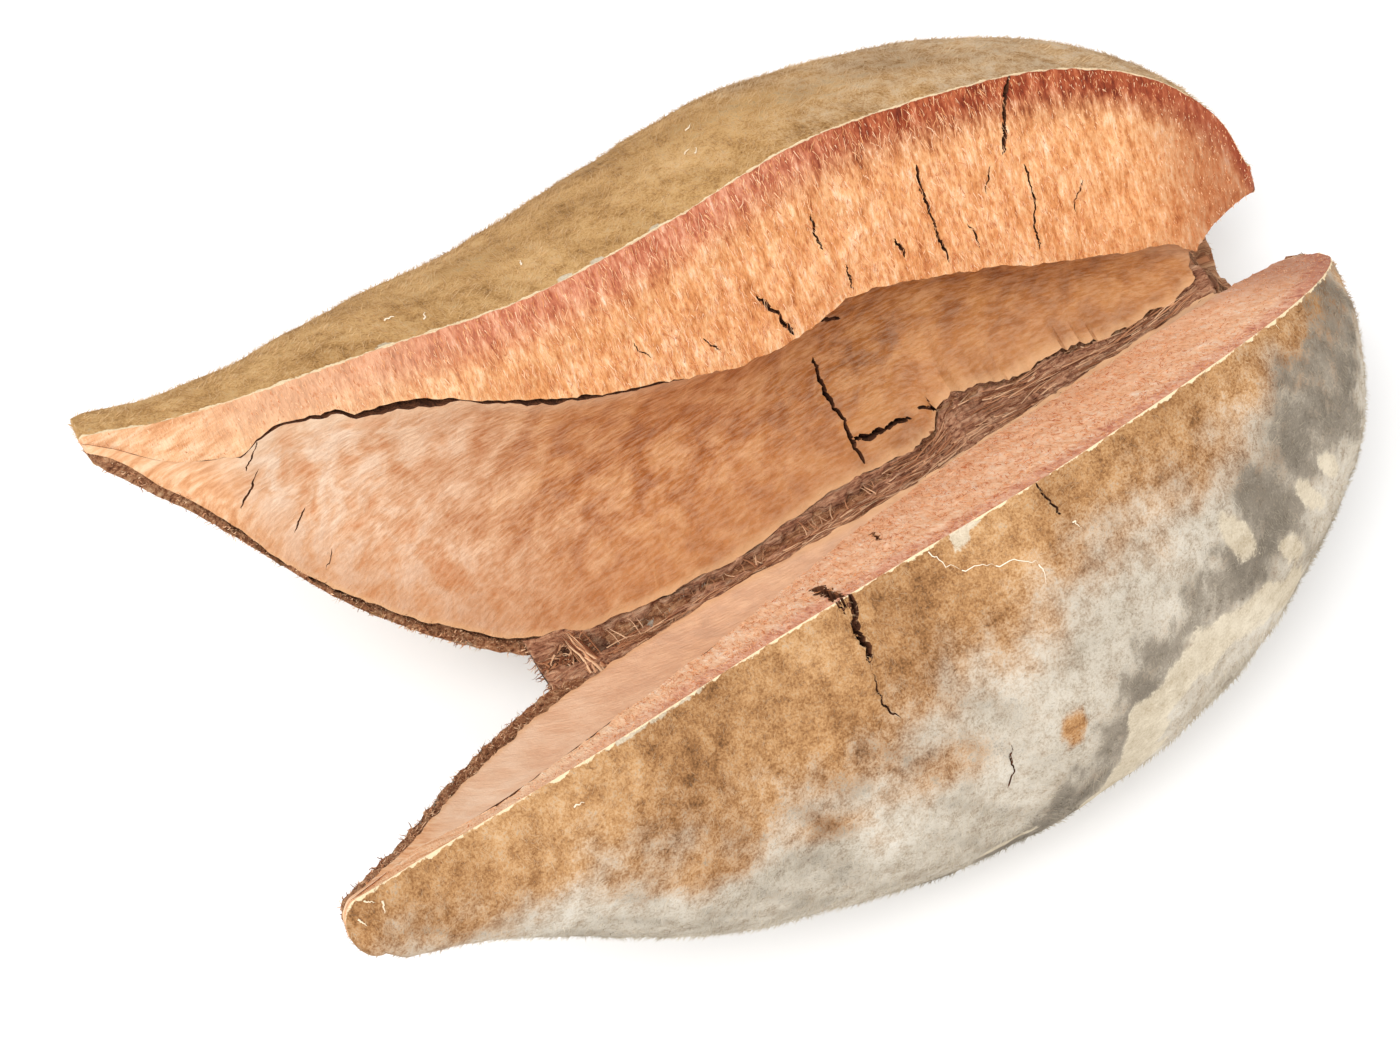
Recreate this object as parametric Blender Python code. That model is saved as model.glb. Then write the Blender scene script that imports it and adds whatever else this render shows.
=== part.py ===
"""Opened woody pear: one dry seed case whose two thick valves gape on a torn hinge.

Frame: +X to the stalk end, +Y to the wider opened valve, +Z up out of the gap.
Every valve is drawn in its own half frame: along the hinge, rise from the hinge
in the split face, and depth behind the split face. Sizes there are millimetres.
"""
import math

import bmesh
import bpy
import numpy as np
from mathutils import Matrix, Vector

MM = 0.001
FAR, NEAR = 1, -1

# Placing of the whole fruit
GAPE_DEG = 58.2
HALF_GAPE = math.radians(GAPE_DEG / 2)
PITCH_DEG = -2.0
LEAN_DEG = 3.0
FLAT_DEPTH = 0.4

# Mesh density
RINGS = 56
OUTSIDE_POINTS = 20
SQUARENESS = 2.25

# Along the hinge, rise of the open rim, depth of the outer belly, rise of the back edge
STATIONS = (
    (-21.9, 33.8, 3.8, 31.4),
    (-20.7, 33.3, 4.9, 29.2),
    (-17.1, 31.7, 6.6, 22.8),
    (-11.0, 29.9, 10.5, 10.8),
    (-2.8, 27.8, 16.1, 0.6),
    (6.7, 25.4, 20.0, -4.6),
    (16.9, 24.9, 22.4, -6.6),
    (27.1, 25.3, 22.5, -7.4),
    (36.7, 23.8, 20.9, -7.6),
    (44.9, 21.6, 17.4, -7.3),
    (51.2, 17.8, 13.4, -5.8),
    (55.1, 12.7, 8.0, -1.0),
    (56.5, 7.8, 4.0, 4.2),
)

# Rise of the inner lip, rise of the lining's broken edge, depth of the hollow
FAR_HOLLOW = (
    (33.2, 32.4, 0.0),
    (32.0, 30.9, 0.0),
    (28.4, 25.0, 0.5),
    (26.8, 12.9, 1.6),
    (23.0, 2.6, 2.8),
    (16.9, -2.4, 3.9),
    (12.3, -3.0, 4.8),
    (12.2, -1.2, 5.4),
    (9.2, 0.0, 4.8),
    (5.8, 0.2, 3.2),
    (2.8, 0.2, 1.0),
    (2.0, 0.8, 0.0),
    (5.6, 5.0, 0.0),
)
NEAR_HOLLOW = (
    (33.2, 32.4, 0.0),
    (32.0, 30.9, 0.0),
    (28.8, 25.0, 0.5),
    (27.0, 12.9, 1.4),
    (21.5, 2.6, 2.4),
    (15.8, -2.4, 3.0),
    (8.6, -3.4, 3.0),
    (3.6, -3.6, 2.8),
    (3.0, -3.4, 2.4),
    (2.4, -3.0, 1.6),
    (1.6, -2.4, 0.8),
    (2.0, 0.6, 0.0),
    (5.4, 5.0, 0.0),
)

# Outward bow of each dried valve at mid length, and its lean towards the tip
FAR_BOW = (3.5, 1.46)
NEAR_BOW = (0.9, -0.81)
BOW_CENTRE = 17.3
BOW_REACH = 42.0

# Gap between the split face and the lining: open in the middle, a mere line at its ends
GAP_WIDTH = 0.45
GAP_DEPTH = 1.5
LINE_WIDTH = 0.12
LINE_DEPTH = 0.1
GAP_OPENS = (-14.0, -9.0)
GAP_CLOSES = (18.0, 26.0)
GAP_BOTTOM = 0.45
LIP_ROUND = 0.02

# Hollow: where its points lie from broken edge to lip, and how steep its wall gets
LINING_STEPS = (0.0, 0.08, 0.2, 0.35, 0.5, 0.65, 0.8, 0.9, 0.97, 1.0)
LINING_START = 0.06
LINING_SPAN = 0.88
GENTLE_WALL = 0.9
STEEP_WALL = 0.55
WALL_STEEPENS = (10.0, 24.0)
LINING_STEP = 0.25
FULL_DISH = 1.2
SPLIT_STEPS = (0.2, 0.4, 0.6, 0.8, 0.94)

# Torn strip between the lining's edge and the back
EDGE_DROP = 0.8
EDGE_SLOPE = 0.35
STRIP_OUTER = 0.48
STRIP_INNER = 0.06
STRIP_LIFT = 0.2

# Rounded ends: reach past the last station, rise and depth of the foremost point
FAR_TIP_CAP = (0.3, 32.6, 1.7)
NEAR_TIP_CAP = (1.3, 32.6, 2.1)
BASE_CAP = (0.6, 6.0, 1.6)
CAP_RINGS = (0.93, 0.72, 0.38)

# Pit left by the stalk: centre and half sizes along, rise and depth
PIT_CENTRE = (58.5, 2.4, 0.0)
PIT_SIZE = (7.0, 5.3, 4.6)

# Torn web along the bottom of the gap: along, height of its top, thickness where it hangs free
WEB = (
    (-2.4, -0.3, 1.2),
    (-1.2, -0.9, 1.8),
    (1.0, -1.7, 2.4),
    (4.0, -2.4, 3.4),
    (10.0, -3.0, 4.2),
    (18.0, -3.5, 5.0),
    (28.0, -3.5, 5.2),
    (37.0, -3.0, 5.4),
    (44.0, -2.2, 5.4),
    (48.0, -1.2, 5.2),
    (50.4, -0.4, 4.8),
    (51.6, -0.8, 4.0),
    (52.4, -1.6, 3.0),
)
WEB_RINGS = 48
WEB_ACROSS = (0.0, 0.12, 0.25, 0.4, 0.55, 0.7, 0.85, 1.0)
WEB_SINK = 1.1
WEB_RELIEF = 0.3
WEB_SAG = 0.35
WEB_LEAST = 1.8
CREASE_FILL = 0.6
CREASE_EDGE = 0.25

# Weathering notch across the rim of the near valve: steps of sideways offset and part of its width
NOTCH_ALONG = 12.6
NOTCH_WIDTH = 1.1
NOTCH_REACH = 3.2
NOTCH_FROM = -1.5
NOTCH_LENGTH = 6.2
NOTCH_ABOVE = 3.0
NOTCH_SHALLOWS = 0.75
NOTCH_STEPS = ((-0.5, 1.0), (0.28, 0.75), (0.1, 0.5), (0.75, 0.28), (0.95, 0.06))

WOOD_COLOUR = (0.43, 0.30, 0.16, 1.0)
WOOD_ROUGHNESS = 0.85


def blend(table, place):
    """Smooth curve through evenly numbered rows, read at a fractional row number."""
    rows = np.asarray(table, float)
    last = len(rows) - 1
    at = min(max(place, 0.0), last)
    low = min(int(at), last - 1)
    part = at - low
    start, end = rows[low], rows[low + 1]
    start_slope = (end - rows[low - 1]) / 2 if low > 0 else end - start
    end_slope = (rows[low + 2] - start) / 2 if low < last - 1 else end - start
    cube, square = part**3, part**2
    return (
        (2 * cube - 3 * square + 1) * start
        + (cube - 2 * square + part) * start_slope
        + (3 * square - 2 * cube) * end
        + (cube - square) * end_slope
    )


def blend_along(table, along):
    """The same for a table whose rows start with their own place along the hinge."""
    places = [row[0] for row in table]
    number = float(np.interp(along, places, range(len(table))))
    return blend(table, number)[1:]


def station_at(along):
    """Row number of the station at this place along the hinge."""
    rows = np.linspace(0, len(STATIONS) - 1, 241)
    return float(np.interp(along, [blend(STATIONS, row)[0] for row in rows], rows))


def soft_step(limits, value):
    low, high = limits
    part = min(max((value - low) / (high - low), 0.0), 1.0)
    return part * part * (3 - 2 * part)


def mix(low, high, part):
    return low + (high - low) * part


def bow_at(bow, along):
    part = (along - BOW_CENTRE) / BOW_REACH
    return bow[0] * (1 - part**2) + bow[1] * (part - part**3)


def outside(rim, belly, back):
    """Rounded outer wall of one section, from the rim to the back edge."""
    middle, half = (rim + back) / 2, (rim - back) / 2
    points = []
    for step in range(OUTSIDE_POINTS):
        turn = math.pi * step / OUTSIDE_POINTS
        cosine, sine = math.cos(turn), math.sin(turn)
        rise = middle + half * math.copysign(abs(cosine) ** (2 / SQUARENESS), cosine)
        points.append((rise, belly * sine ** (2 / SQUARENESS)))
    return points + [(back, 0.0)]


def inside(along, rim, back, lip, edge, dish):
    """Inner wall of one section: torn strip, lining, gap, then the split face up to the rim."""
    fade = soft_step((0.0, FULL_DISH), dish)
    drop = EDGE_DROP * fade
    strip = edge - back
    points = [
        (back + strip * STRIP_OUTER, drop / 2 + STRIP_LIFT * fade),
        (edge - strip * STRIP_INNER, drop + EDGE_SLOPE * dish),
    ]
    gap = soft_step(GAP_OPENS, along) * (1 - soft_step(GAP_CLOSES, along))
    gap_width = mix(LINE_WIDTH, GAP_WIDTH, gap)
    gap_depth = mix(LINE_DEPTH, GAP_DEPTH, gap)
    wall = mix(GENTLE_WALL, STEEP_WALL, soft_step(WALL_STEEPENS, along))
    for part in LINING_STEPS:
        depth = dish * math.sin(math.pi * (LINING_START + LINING_SPAN * part)) ** wall
        points.append((mix(edge, lip - gap_width, part), depth))
    lining_top = points[-1][1]
    points.append((lip - gap_width * GAP_BOTTOM, lining_top + LINING_STEP * fade + gap_depth))
    points.append((lip, LIP_ROUND))
    points.extend((mix(lip, rim, part), 0.0) for part in SPLIT_STEPS)
    return points


def section(hollow, bow, place):
    """Closed outline of a valve at one station, as points along, rise and depth."""
    along, rim, belly, back = blend(STATIONS, place)
    lip, edge, dish = blend(hollow, place)
    shift = bow_at(bow, along)
    outline = outside(rim, belly, back) + inside(along, rim, back, lip, edge, max(dish, 0.0))
    return [Vector((along, rise, depth + shift)) for rise, depth in outline]


def cap(ring, size, direction):
    """Rings that round off one end, and the point that closes it."""
    reach, rise, depth = size
    face = min(point.z for point in ring)
    centre = Vector((ring[0].x, rise, face + depth))
    rings = []
    for part in CAP_RINGS:
        out = Vector((direction * reach * math.sqrt(1 - part**2), 0, 0))
        rings.append([centre + (point - centre) * part + out for point in ring])
    return rings, centre + Vector((direction * reach, 0, 0))


def stand(point, side):
    """From a valve's own frame to the fruit's, in metres."""
    along, rise, depth = point
    across = side * (rise * math.sin(HALF_GAPE) + depth * math.cos(HALF_GAPE))
    up = rise * math.cos(HALF_GAPE) - depth * math.sin(HALF_GAPE)
    return Vector((along, across, up)) * MM


def skin(name, rings, first_end=None, last_end=None):
    """Closed mesh object over rings of points, each end closed flat or to one point."""
    mesh = bmesh.new()
    made = [[mesh.verts.new(point) for point in ring] for ring in rings]
    count = len(made[0])
    for one, two in zip(made, made[1:]):
        for step in range(count):
            after = (step + 1) % count
            mesh.faces.new((one[step], two[step], two[after], one[after]))
    for ring, end in ((made[0], first_end), (made[-1], last_end)):
        if end is None:
            bmesh.ops.triangulate(mesh, faces=[mesh.faces.new(ring)])
            continue
        point = mesh.verts.new(end)
        for step in range(count):
            mesh.faces.new((ring[step], ring[(step + 1) % count], point))
    return finish_mesh(mesh, name)


def finish_mesh(mesh, name):
    bmesh.ops.recalc_face_normals(mesh, faces=mesh.faces)
    if mesh.calc_volume(signed=True) < 0:
        bmesh.ops.reverse_faces(mesh, faces=mesh.faces)
    data = bpy.data.meshes.new(name)
    mesh.to_mesh(data)
    mesh.free()
    thing = bpy.data.objects.new(name, data)
    bpy.context.collection.objects.link(thing)
    return thing


def valve(name, hollow, bow, tip_cap, side):
    """One valve, tilted out by half the gape about the hinge, on the given side."""
    last = len(STATIONS) - 1
    rings = [section(hollow, bow, last * step / (RINGS - 1)) for step in range(RINGS)]
    tip_rings, tip = cap(rings[0], tip_cap, -1)
    base_rings, base = cap(rings[-1], BASE_CAP, 1)
    rings = tip_rings[::-1] + rings + base_rings
    standing = [[stand(point, side) for point in ring] for ring in rings]
    return skin(name, standing, stand(tip, side), stand(base, side))


def web_ring(along, calm):
    """Outline of the web at one place: its torn top from wall to wall, then its floor."""
    top, thick = blend_along(WEB, along)
    back = blend(STATIONS, station_at(along))[3]
    walls, backs = [], []
    for side, bow in ((NEAR, NEAR_BOW), (FAR, FAR_BOW)):
        shift = bow_at(bow, along)
        rise = max((top + shift * math.sin(HALF_GAPE)) / math.cos(HALF_GAPE), back)
        inner = rise * math.sin(HALF_GAPE) + shift * math.cos(HALF_GAPE)
        walls.append(side * (inner + WEB_SINK))
        backs.append(stand((along, back, shift), side) / MM)
    left, right = walls
    overlap = max((backs[0].y - backs[1].y) / (2 * math.cos(HALF_GAPE)), 0.0)
    crease = (backs[0].z + backs[1].z) / 2 - overlap * math.sin(HALF_GAPE)
    floor = min(top - WEB_LEAST, max(crease - CREASE_FILL, top - thick))
    quarter = (right - left) / 4
    centre = (backs[0].y + backs[1].y) / 2
    centre = min(max(centre, left + 1.4 * quarter), right - 1.4 * quarter)
    ring = []
    for part in WEB_ACROSS:
        across = mix(left, right, part)
        wave = math.sin(1.9 * along + 2.1 * across) + math.sin(1.1 * along - 3 * across)
        swell = math.sin(math.pi * part)
        ring.append((across, top + (WEB_RELIEF * wave * calm - WEB_SAG) * swell))
    ring.append((centre + quarter, floor + CREASE_EDGE))
    ring.append((centre, floor))
    ring.append((centre - quarter, floor + CREASE_EDGE))
    return [Vector((along, across, height)) * MM for across, height in ring]


def web():
    """Fibrous strip that still joins the valves along the bottom of the gap."""
    first, last = WEB[0][0], WEB[-1][0]
    rings = []
    for step in range(WEB_RINGS):
        along = mix(first, last, step / (WEB_RINGS - 1))
        calm = min(1.0, (along - first) / 2, (last - along) / 2)
        rings.append(web_ring(along, calm))
    return skin("web", rings)


def pit(side):
    """Half of the stalk pit, as a cutter for one valve."""
    mesh = bmesh.new()
    bmesh.ops.create_uvsphere(mesh, u_segments=18, v_segments=12, radius=1.0)
    for vertex in mesh.verts:
        parts = zip(PIT_CENTRE, PIT_SIZE, vertex.co)
        vertex.co = stand([centre + size * value for centre, size, value in parts], side)
    return finish_mesh(mesh, "pit")


def notch():
    """Crooked wedge that opens the near rim and runs a little way down the outside."""
    along, rim = blend(STATIONS, station_at(NOTCH_ALONG))[:2]
    shift = bow_at(NEAR_BOW, along)
    rings = []
    for step, (offset, size) in enumerate(NOTCH_STEPS):
        part = step / (len(NOTCH_STEPS) - 1)
        depth = mix(NOTCH_FROM, NOTCH_LENGTH, part) + shift
        low = rim - NOTCH_REACH * (1 - NOTCH_SHALLOWS * part)
        high = rim + NOTCH_ABOVE
        centre = NOTCH_ALONG + offset
        wide = NOTCH_WIDTH * size / 2
        corners = ((centre - wide, high), (centre + wide, high), (centre, low))
        rings.append([stand((place, rise, depth), NEAR) for place, rise in corners])
    return skin("notch", rings)


def combine(target, tool, operation, solver="EXACT"):
    modifier = target.modifiers.new(operation.lower(), "BOOLEAN")
    modifier.operation = operation
    modifier.solver = solver
    modifier.object = tool
    bpy.context.view_layer.objects.active = target
    bpy.ops.object.modifier_apply(modifier=modifier.name)
    bpy.data.objects.remove(tool, do_unlink=True)


def settle(thing):
    """Turns the fruit to the way it rests, trims its two resting spots and centres it."""
    turn = Matrix.Rotation(math.radians(LEAN_DEG), 4, "X")
    turn = turn @ Matrix.Rotation(math.radians(PITCH_DEG), 4, "Y")
    thing.data.transform(turn)
    lowest = min(vertex.co.z for vertex in thing.data.vertices)
    trim_below(thing.data, lowest + FLAT_DEPTH * MM)
    corners = np.array([vertex.co[:] for vertex in thing.data.vertices])
    low, high = corners.min(axis=0), corners.max(axis=0)
    middle = (low + high) / 2
    thing.data.transform(Matrix.Translation((-middle[0], -middle[1], -low[2])))


def trim_below(data, height):
    mesh = bmesh.new()
    mesh.from_mesh(data)
    everything = mesh.verts[:] + mesh.edges[:] + mesh.faces[:]
    bmesh.ops.bisect_plane(
        mesh, geom=everything, dist=1e-7, plane_co=(0, 0, height), plane_no=(0, 0, 1), clear_inner=True
    )
    open_edges = [edge for edge in mesh.edges if edge.is_boundary]
    bmesh.ops.holes_fill(mesh, edges=open_edges, sides=0)
    bmesh.ops.triangulate(mesh, faces=mesh.faces)
    mesh.to_mesh(data)
    mesh.free()


def wood():
    material = bpy.data.materials.new("weathered_wood")
    material.use_nodes = True
    shader = material.node_tree.nodes["Principled BSDF"]
    shader.inputs["Base Color"].default_value = WOOD_COLOUR
    shader.inputs["Roughness"].default_value = WOOD_ROUGHNESS
    shader.inputs["Metallic"].default_value = 0.0
    return material


def main():
    for thing in list(bpy.data.objects):
        bpy.data.objects.remove(thing, do_unlink=True)
    fruit = valve("woody_pear", FAR_HOLLOW, FAR_BOW, FAR_TIP_CAP, FAR)
    near = valve("near_valve", NEAR_HOLLOW, NEAR_BOW, NEAR_TIP_CAP, NEAR)
    combine(near, notch(), "DIFFERENCE")
    combine(fruit, pit(FAR), "DIFFERENCE")
    combine(near, pit(NEAR), "DIFFERENCE")
    combine(fruit, near, "UNION")
    combine(fruit, web(), "UNION", "MANIFOLD")
    settle(fruit)
    fruit.data.materials.clear()
    fruit.data.materials.append(wood())
    fruit.data.shade_smooth()
    fruit.data.set_sharp_from_angle(angle=math.radians(45))


main()
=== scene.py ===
"""Looks of the opened woody pear: two felted valves, their split faces, linings and torn hinge.

A valve is drawn in its own frame, in millimetres: along the hinge, rise in the split face, depth
behind it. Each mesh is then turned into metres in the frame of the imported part.
"""
import math

import bmesh
import bpy
import numpy as np
from mathutils import Matrix, Vector
from mathutils.kdtree import KDTree


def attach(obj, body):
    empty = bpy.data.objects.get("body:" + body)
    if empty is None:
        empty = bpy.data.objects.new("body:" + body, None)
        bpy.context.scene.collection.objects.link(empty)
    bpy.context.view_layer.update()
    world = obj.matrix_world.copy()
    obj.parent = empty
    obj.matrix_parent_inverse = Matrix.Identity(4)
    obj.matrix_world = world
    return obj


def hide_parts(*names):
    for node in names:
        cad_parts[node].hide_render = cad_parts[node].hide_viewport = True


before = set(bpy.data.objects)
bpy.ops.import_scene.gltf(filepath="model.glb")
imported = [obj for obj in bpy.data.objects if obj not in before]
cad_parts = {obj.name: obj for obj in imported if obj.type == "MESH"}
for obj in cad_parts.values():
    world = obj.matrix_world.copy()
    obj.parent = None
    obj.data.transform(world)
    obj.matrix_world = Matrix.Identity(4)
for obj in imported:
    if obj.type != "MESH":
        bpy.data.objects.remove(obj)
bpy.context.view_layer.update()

MM = 0.001
FAR, NEAR = 1, -1
HALF_GAPE = math.radians(58.2 / 2)
PITCH = math.radians(-2.0)
LEAN = math.radians(3.0)
SHIFT = np.array((-16.3739, -1.0336, 10.5661))
SQUARENESS = 2.25

# Camera: place, axes and focal length in picture points of a frame 1400 points wide
EYE = (-53.04497, -85.74213, 209.0852)
EYE_AXES = (
    (0.853961, 0.471816, -0.219409),
    (-0.519856, 0.755494, -0.398720),
    (-0.022361, 0.454553, 0.890439),
)
FOCAL = 3278.85
FRAME_WIDTH = 1400

# Along the hinge, rise of the open rim, depth of the outer belly, rise of the back edge
STATIONS = (
    (-21.9, 33.8, 3.8, 31.4), (-20.7, 33.3, 4.9, 29.2), (-17.1, 31.7, 6.6, 22.8),
    (-11.0, 29.9, 10.5, 10.8), (-2.8, 27.8, 16.1, 0.6), (6.7, 25.4, 20.0, -4.6),
    (16.9, 24.9, 22.4, -6.6), (27.1, 25.3, 22.5, -7.4), (36.7, 23.8, 20.9, -7.6),
    (44.9, 21.6, 17.4, -7.3), (51.2, 17.8, 13.4, -5.8), (55.1, 12.7, 8.0, -1.0),
    (56.5, 7.8, 4.0, 4.2),
)

# Rise of the inner lip, rise of the lining's broken edge, depth of the hollow
HOLLOWS = {
    FAR: (
        (33.2, 32.4, 0.0), (32.0, 30.9, 0.0), (28.4, 25.0, 0.5), (26.8, 12.9, 1.6),
        (23.0, 2.6, 2.8), (16.9, -2.4, 3.9), (12.3, -3.0, 4.8), (12.2, -1.2, 5.4), (9.2, 0.0, 4.8),
        (5.8, 0.2, 3.2), (2.8, 0.2, 1.0), (2.0, 0.8, 0.0), (5.6, 5.0, 0.0),
    ),
    NEAR: (
        (33.2, 32.4, 0.0), (32.0, 30.9, 0.0), (28.8, 25.0, 0.5), (27.0, 12.9, 1.4),
        (21.5, 2.6, 2.4), (15.8, -2.4, 3.0), (8.6, -3.4, 3.0), (3.6, -3.6, 2.8), (3.0, -3.4, 2.4),
        (2.4, -3.0, 1.6), (1.6, -2.4, 0.8), (2.0, 0.6, 0.0), (5.4, 5.0, 0.0),
    ),
}

# Course of the far lip, along and rise, where it wanders from the smooth table
FAR_LIP = (
    (-16.6, 28.0), (-13.9, 26.5), (-12.7, 26.9), (-11.4, 27.1), (-9.8, 26.6), (-7.3, 25.6),
    (-6.4, 24.6), (-3.6, 23.7), (-0.5, 21.9), (3.0, 19.2), (5.5, 17.6), (8.7, 15.9), (13.2, 13.9),
    (18.4, 11.9), (23.0, 11.5), (27.2, 12.3), (30.9, 11.6), (38.0, 8.6), (41.5, 7.0), (46.5, 5.2),
    (52.4, 3.6),
)

# Course of the far lining's broken edge
FAR_EDGE = (
    (-20.8, 30.2), (-19.8, 28.7), (-18.1, 26.0), (-17.1, 24.0), (-16.2, 22.2), (-15.3, 19.8),
    (-14.3, 17.3), (-12.0, 13.2), (-8.2, 7.6), (-3.6, 2.3), (0.9, -0.8), (3.3, -1.5), (8.6, -2.6),
    (13.8, -3.4), (24.9, -3.5), (27.6, -3.8), (30.6, -3.6), (31.6, -1.9), (33.1, -0.9),
    (36.4, -1.8), (41.2, -1.7), (45.0, -2.4), (49.2, -1.4), (52.0, -0.6),
)

# Width of the open gap under the lip, by place along
GAP_WIDTHS = {
    FAR: (
        (-14.6, 0.05), (-13.4, 0.16), (-10.2, 0.14), (-8.4, 0.30), (-6.6, 0.42), (-5.0, 0.60),
        (-1.5, 0.55), (0.5, 0.30), (3.0, 0.34), (5.5, 0.52), (8.6, 0.38), (12.0, 0.30),
        (15.0, 0.16), (18.0, 0.06),
    ),
    NEAR: ((-14.0, 0.05), (-9.0, 0.4), (12.0, 0.4), (18.0, 0.2), (24.0, 0.06)),
}
GAP_DEPTH = 1.9
# Keeps the two valves' patterns from being the same
PATTERN_SHIFT = {FAR: 0.0, NEAR: 60.0}
LINE_DEPTH = 0.1

BOWS = {FAR: (3.5, 1.46), NEAR: (0.9, -0.81)}
BOW_CENTRE = 17.3
BOW_REACH = 42.0
TIP_CAPS = {FAR: (0.3, 32.6, 1.7), NEAR: (1.3, 32.6, 2.1)}
BASE_CAP = (0.6, 6.0, 1.6)

# Torn web along the bottom of the gap: along, height of its top, thickness where it hangs free
WEB = (
    (-2.4, -0.3, 1.2), (-1.2, -0.9, 1.8), (1.0, -1.7, 2.4), (4.0, -2.4, 3.4), (10.0, -3.0, 4.2),
    (18.0, -3.5, 5.0), (28.0, -3.5, 5.2), (37.0, -3.0, 5.4), (44.0, -2.2, 5.4), (48.0, -1.2, 5.2),
    (50.4, -0.4, 4.8), (51.6, -0.8, 4.0), (52.4, -1.6, 3.0),
)
WEB_SINK = 0.7

# Pit left by the stalk: centre and half sizes along, rise and depth
PIT_CENTRE = (58.5, 2.4, 0.0)
PIT_SIZE = (7.0, 5.3, 4.6)

# Cracks: valve, on the split side or the outside, width, depth, points along and rise (or arc)
CRACKS = (
    (FAR, "in", 0.34, 1.5, ((42.0, 22.6), (41.7, 21.6), (41.3, 20.2), (40.9, 18.8), (40.4, 17.0))),
    (FAR, "in", 0.16, 0.9, ((41.6, 15.5), (41.6, 14.0), (41.6, 12.5), (41.2, 10.5), (41.1, 8.5))),
    (FAR, "in", 0.20, 0.9, ((34.3, 19.5), (34.2, 17.4), (34.3, 16.6), (34.4, 14.6), (34.7, 11.0))),
    (FAR, "in", 0.24, 0.9, ((31.5, 14.9), (31.6, 14.0), (31.8, 13.1))),
    (FAR, "in", 0.28, 1.0, ((21.2, 16.3), (21.8, 14.9), (22.3, 13.5), (22.8, 11.9))),
    (FAR, "in", 0.18, 0.8, ((27.6, 14.9), (27.7, 13.8), (27.8, 12.7))),
    (FAR, "in", 0.16, 0.8, ((39.2, 16.7), (38.8, 15.7), (38.4, 14.7))),
    (FAR, "in", 0.18, 0.8, ((26.4, 19.9), (26.4, 18.3), (26.4, 16.9))),
    (FAR, "in", 0.14, 0.8, ((45.1, 12.3), (44.6, 11.3), (44.0, 10.1))),
    (FAR, "in", 0.12, 0.6, ((16.8, 15.4), (17.1, 14.6), (17.6, 13.9))),
    (FAR, "in", 0.14, 0.6, ((36.6, 13.2), (36.9, 12.0), (37.0, 10.9))),
    (FAR, "in", 0.12, 0.6, ((12.2, 18.0), (12.4, 17.2), (12.9, 16.3))),
    (FAR, "in", 0.20, 0.7, ((-12.7, 26.6), (-13.9, 25.4), (-14.1, 25.1))),
    (FAR, "in", 0.18, 0.7, ((-13.3, 24.6), (-14.2, 23.5), (-15.4, 22.7))),
    (FAR, "in", 0.14, 0.6, ((-11.6, 19.5), (-12.4, 19.0), (-13.0, 18.6))),
    (FAR, "in", 0.14, 0.6, ((-11.3, 15.9), (-11.7, 15.5), (-12.2, 15.1))),
    (FAR, "in", 0.16, 0.7, ((19.4, 10.2), (20.2, 9.8), (22.4, 9.2), (25.2, 8.1))),
    (FAR, "in", 0.34, 0.9, ((25.6, 8.4), (26.7, 8.1), (27.8, 7.4))),
    (FAR, "in", 0.34, 1.4, (
        (25.1, 5.2), (25.2, 3.4), (25.2, 2.0), (25.4, 0.8), (25.6, -0.5), (25.3, -3.2),
    )),
    (FAR, "in", 0.42, 1.4, ((25.5, -1.6), (26.8, -2.0), (28.2, -2.0), (30.0, -2.2))),
    (FAR, "in", 0.30, 1.2, ((30.6, -1.7), (31.4, -1.6), (32.4, -1.7))),
    (NEAR, "in", 0.95, 2.4, ((12.9, 16.2), (12.8, 18.8), (12.6, 21.5), (12.3, 24.6), (12.2, 26.6))),
    (NEAR, "out", 0.50, 1.8, (
        (12.6, -0.2), (12.8, 0.4), (12.5, 1.5), (12.3, 2.4), (12.4, 3.2), (12.0, 4.3),
    )),
    (NEAR, "out", 0.14, 0.6, ((11.9, 5.0), (11.7, 6.2), (11.9, 7.3), (12.3, 8.4))),
    (NEAR, "out", 0.16, 0.7, ((26.4, -0.1), (26.5, 0.6), (26.5, 1.9), (26.9, 2.6))),
    (NEAR, "out", 0.16, 0.6, ((18.1, 14.4), (17.7, 15.8), (17.2, 17.3))),
    (NEAR, "in", 0.30, 0.6, ((19.2, 10.5), (19.0, 12.6), (18.7, 14.8))),
)
CRACK_STEP = 0.11
CUTTER_ABOVE = 0.3
SHARP_ANGLE = math.radians(55)

# Bald, sooty and pale places of the near valve's outside, along and arc from the rim
PALE_BORDER = (
    (-24, 3.6), (-17.2, 4.6), (-14.1, 5.2), (-10.2, 5.6), (-6.5, 6.4), (-1.5, 7.6), (3.5, 8.8),
    (8.2, 9.4), (12.8, 8.0), (17.2, 7.6), (21.1, 7.6), (26.6, 5.6), (30.4, 5.0), (34.1, 4.0),
    (37.7, 3.2), (41.3, 2.8), (50.0, 1.6), (58.0, 1.0),
)
SOOT_BAND = (
    (52.6, 1.6), (51.8, 3.6), (49.0, 5.3), (44.6, 7.6), (40.7, 10.2), (37.6, 12.6), (34.2, 13.6),
    (31.6, 14.9), (28.5, 17.1), (25.8, 19.7), (22.6, 23.0), (17.0, 26.5), (10.0, 28.0),
)
CREAM_BAND = (
    (24.0, 25.6), (26.2, 22.5), (27.9, 18.6), (31.2, 17.2), (33.7, 16.4), (36.9, 16.6), (40.9, 18.0),
)
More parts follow.
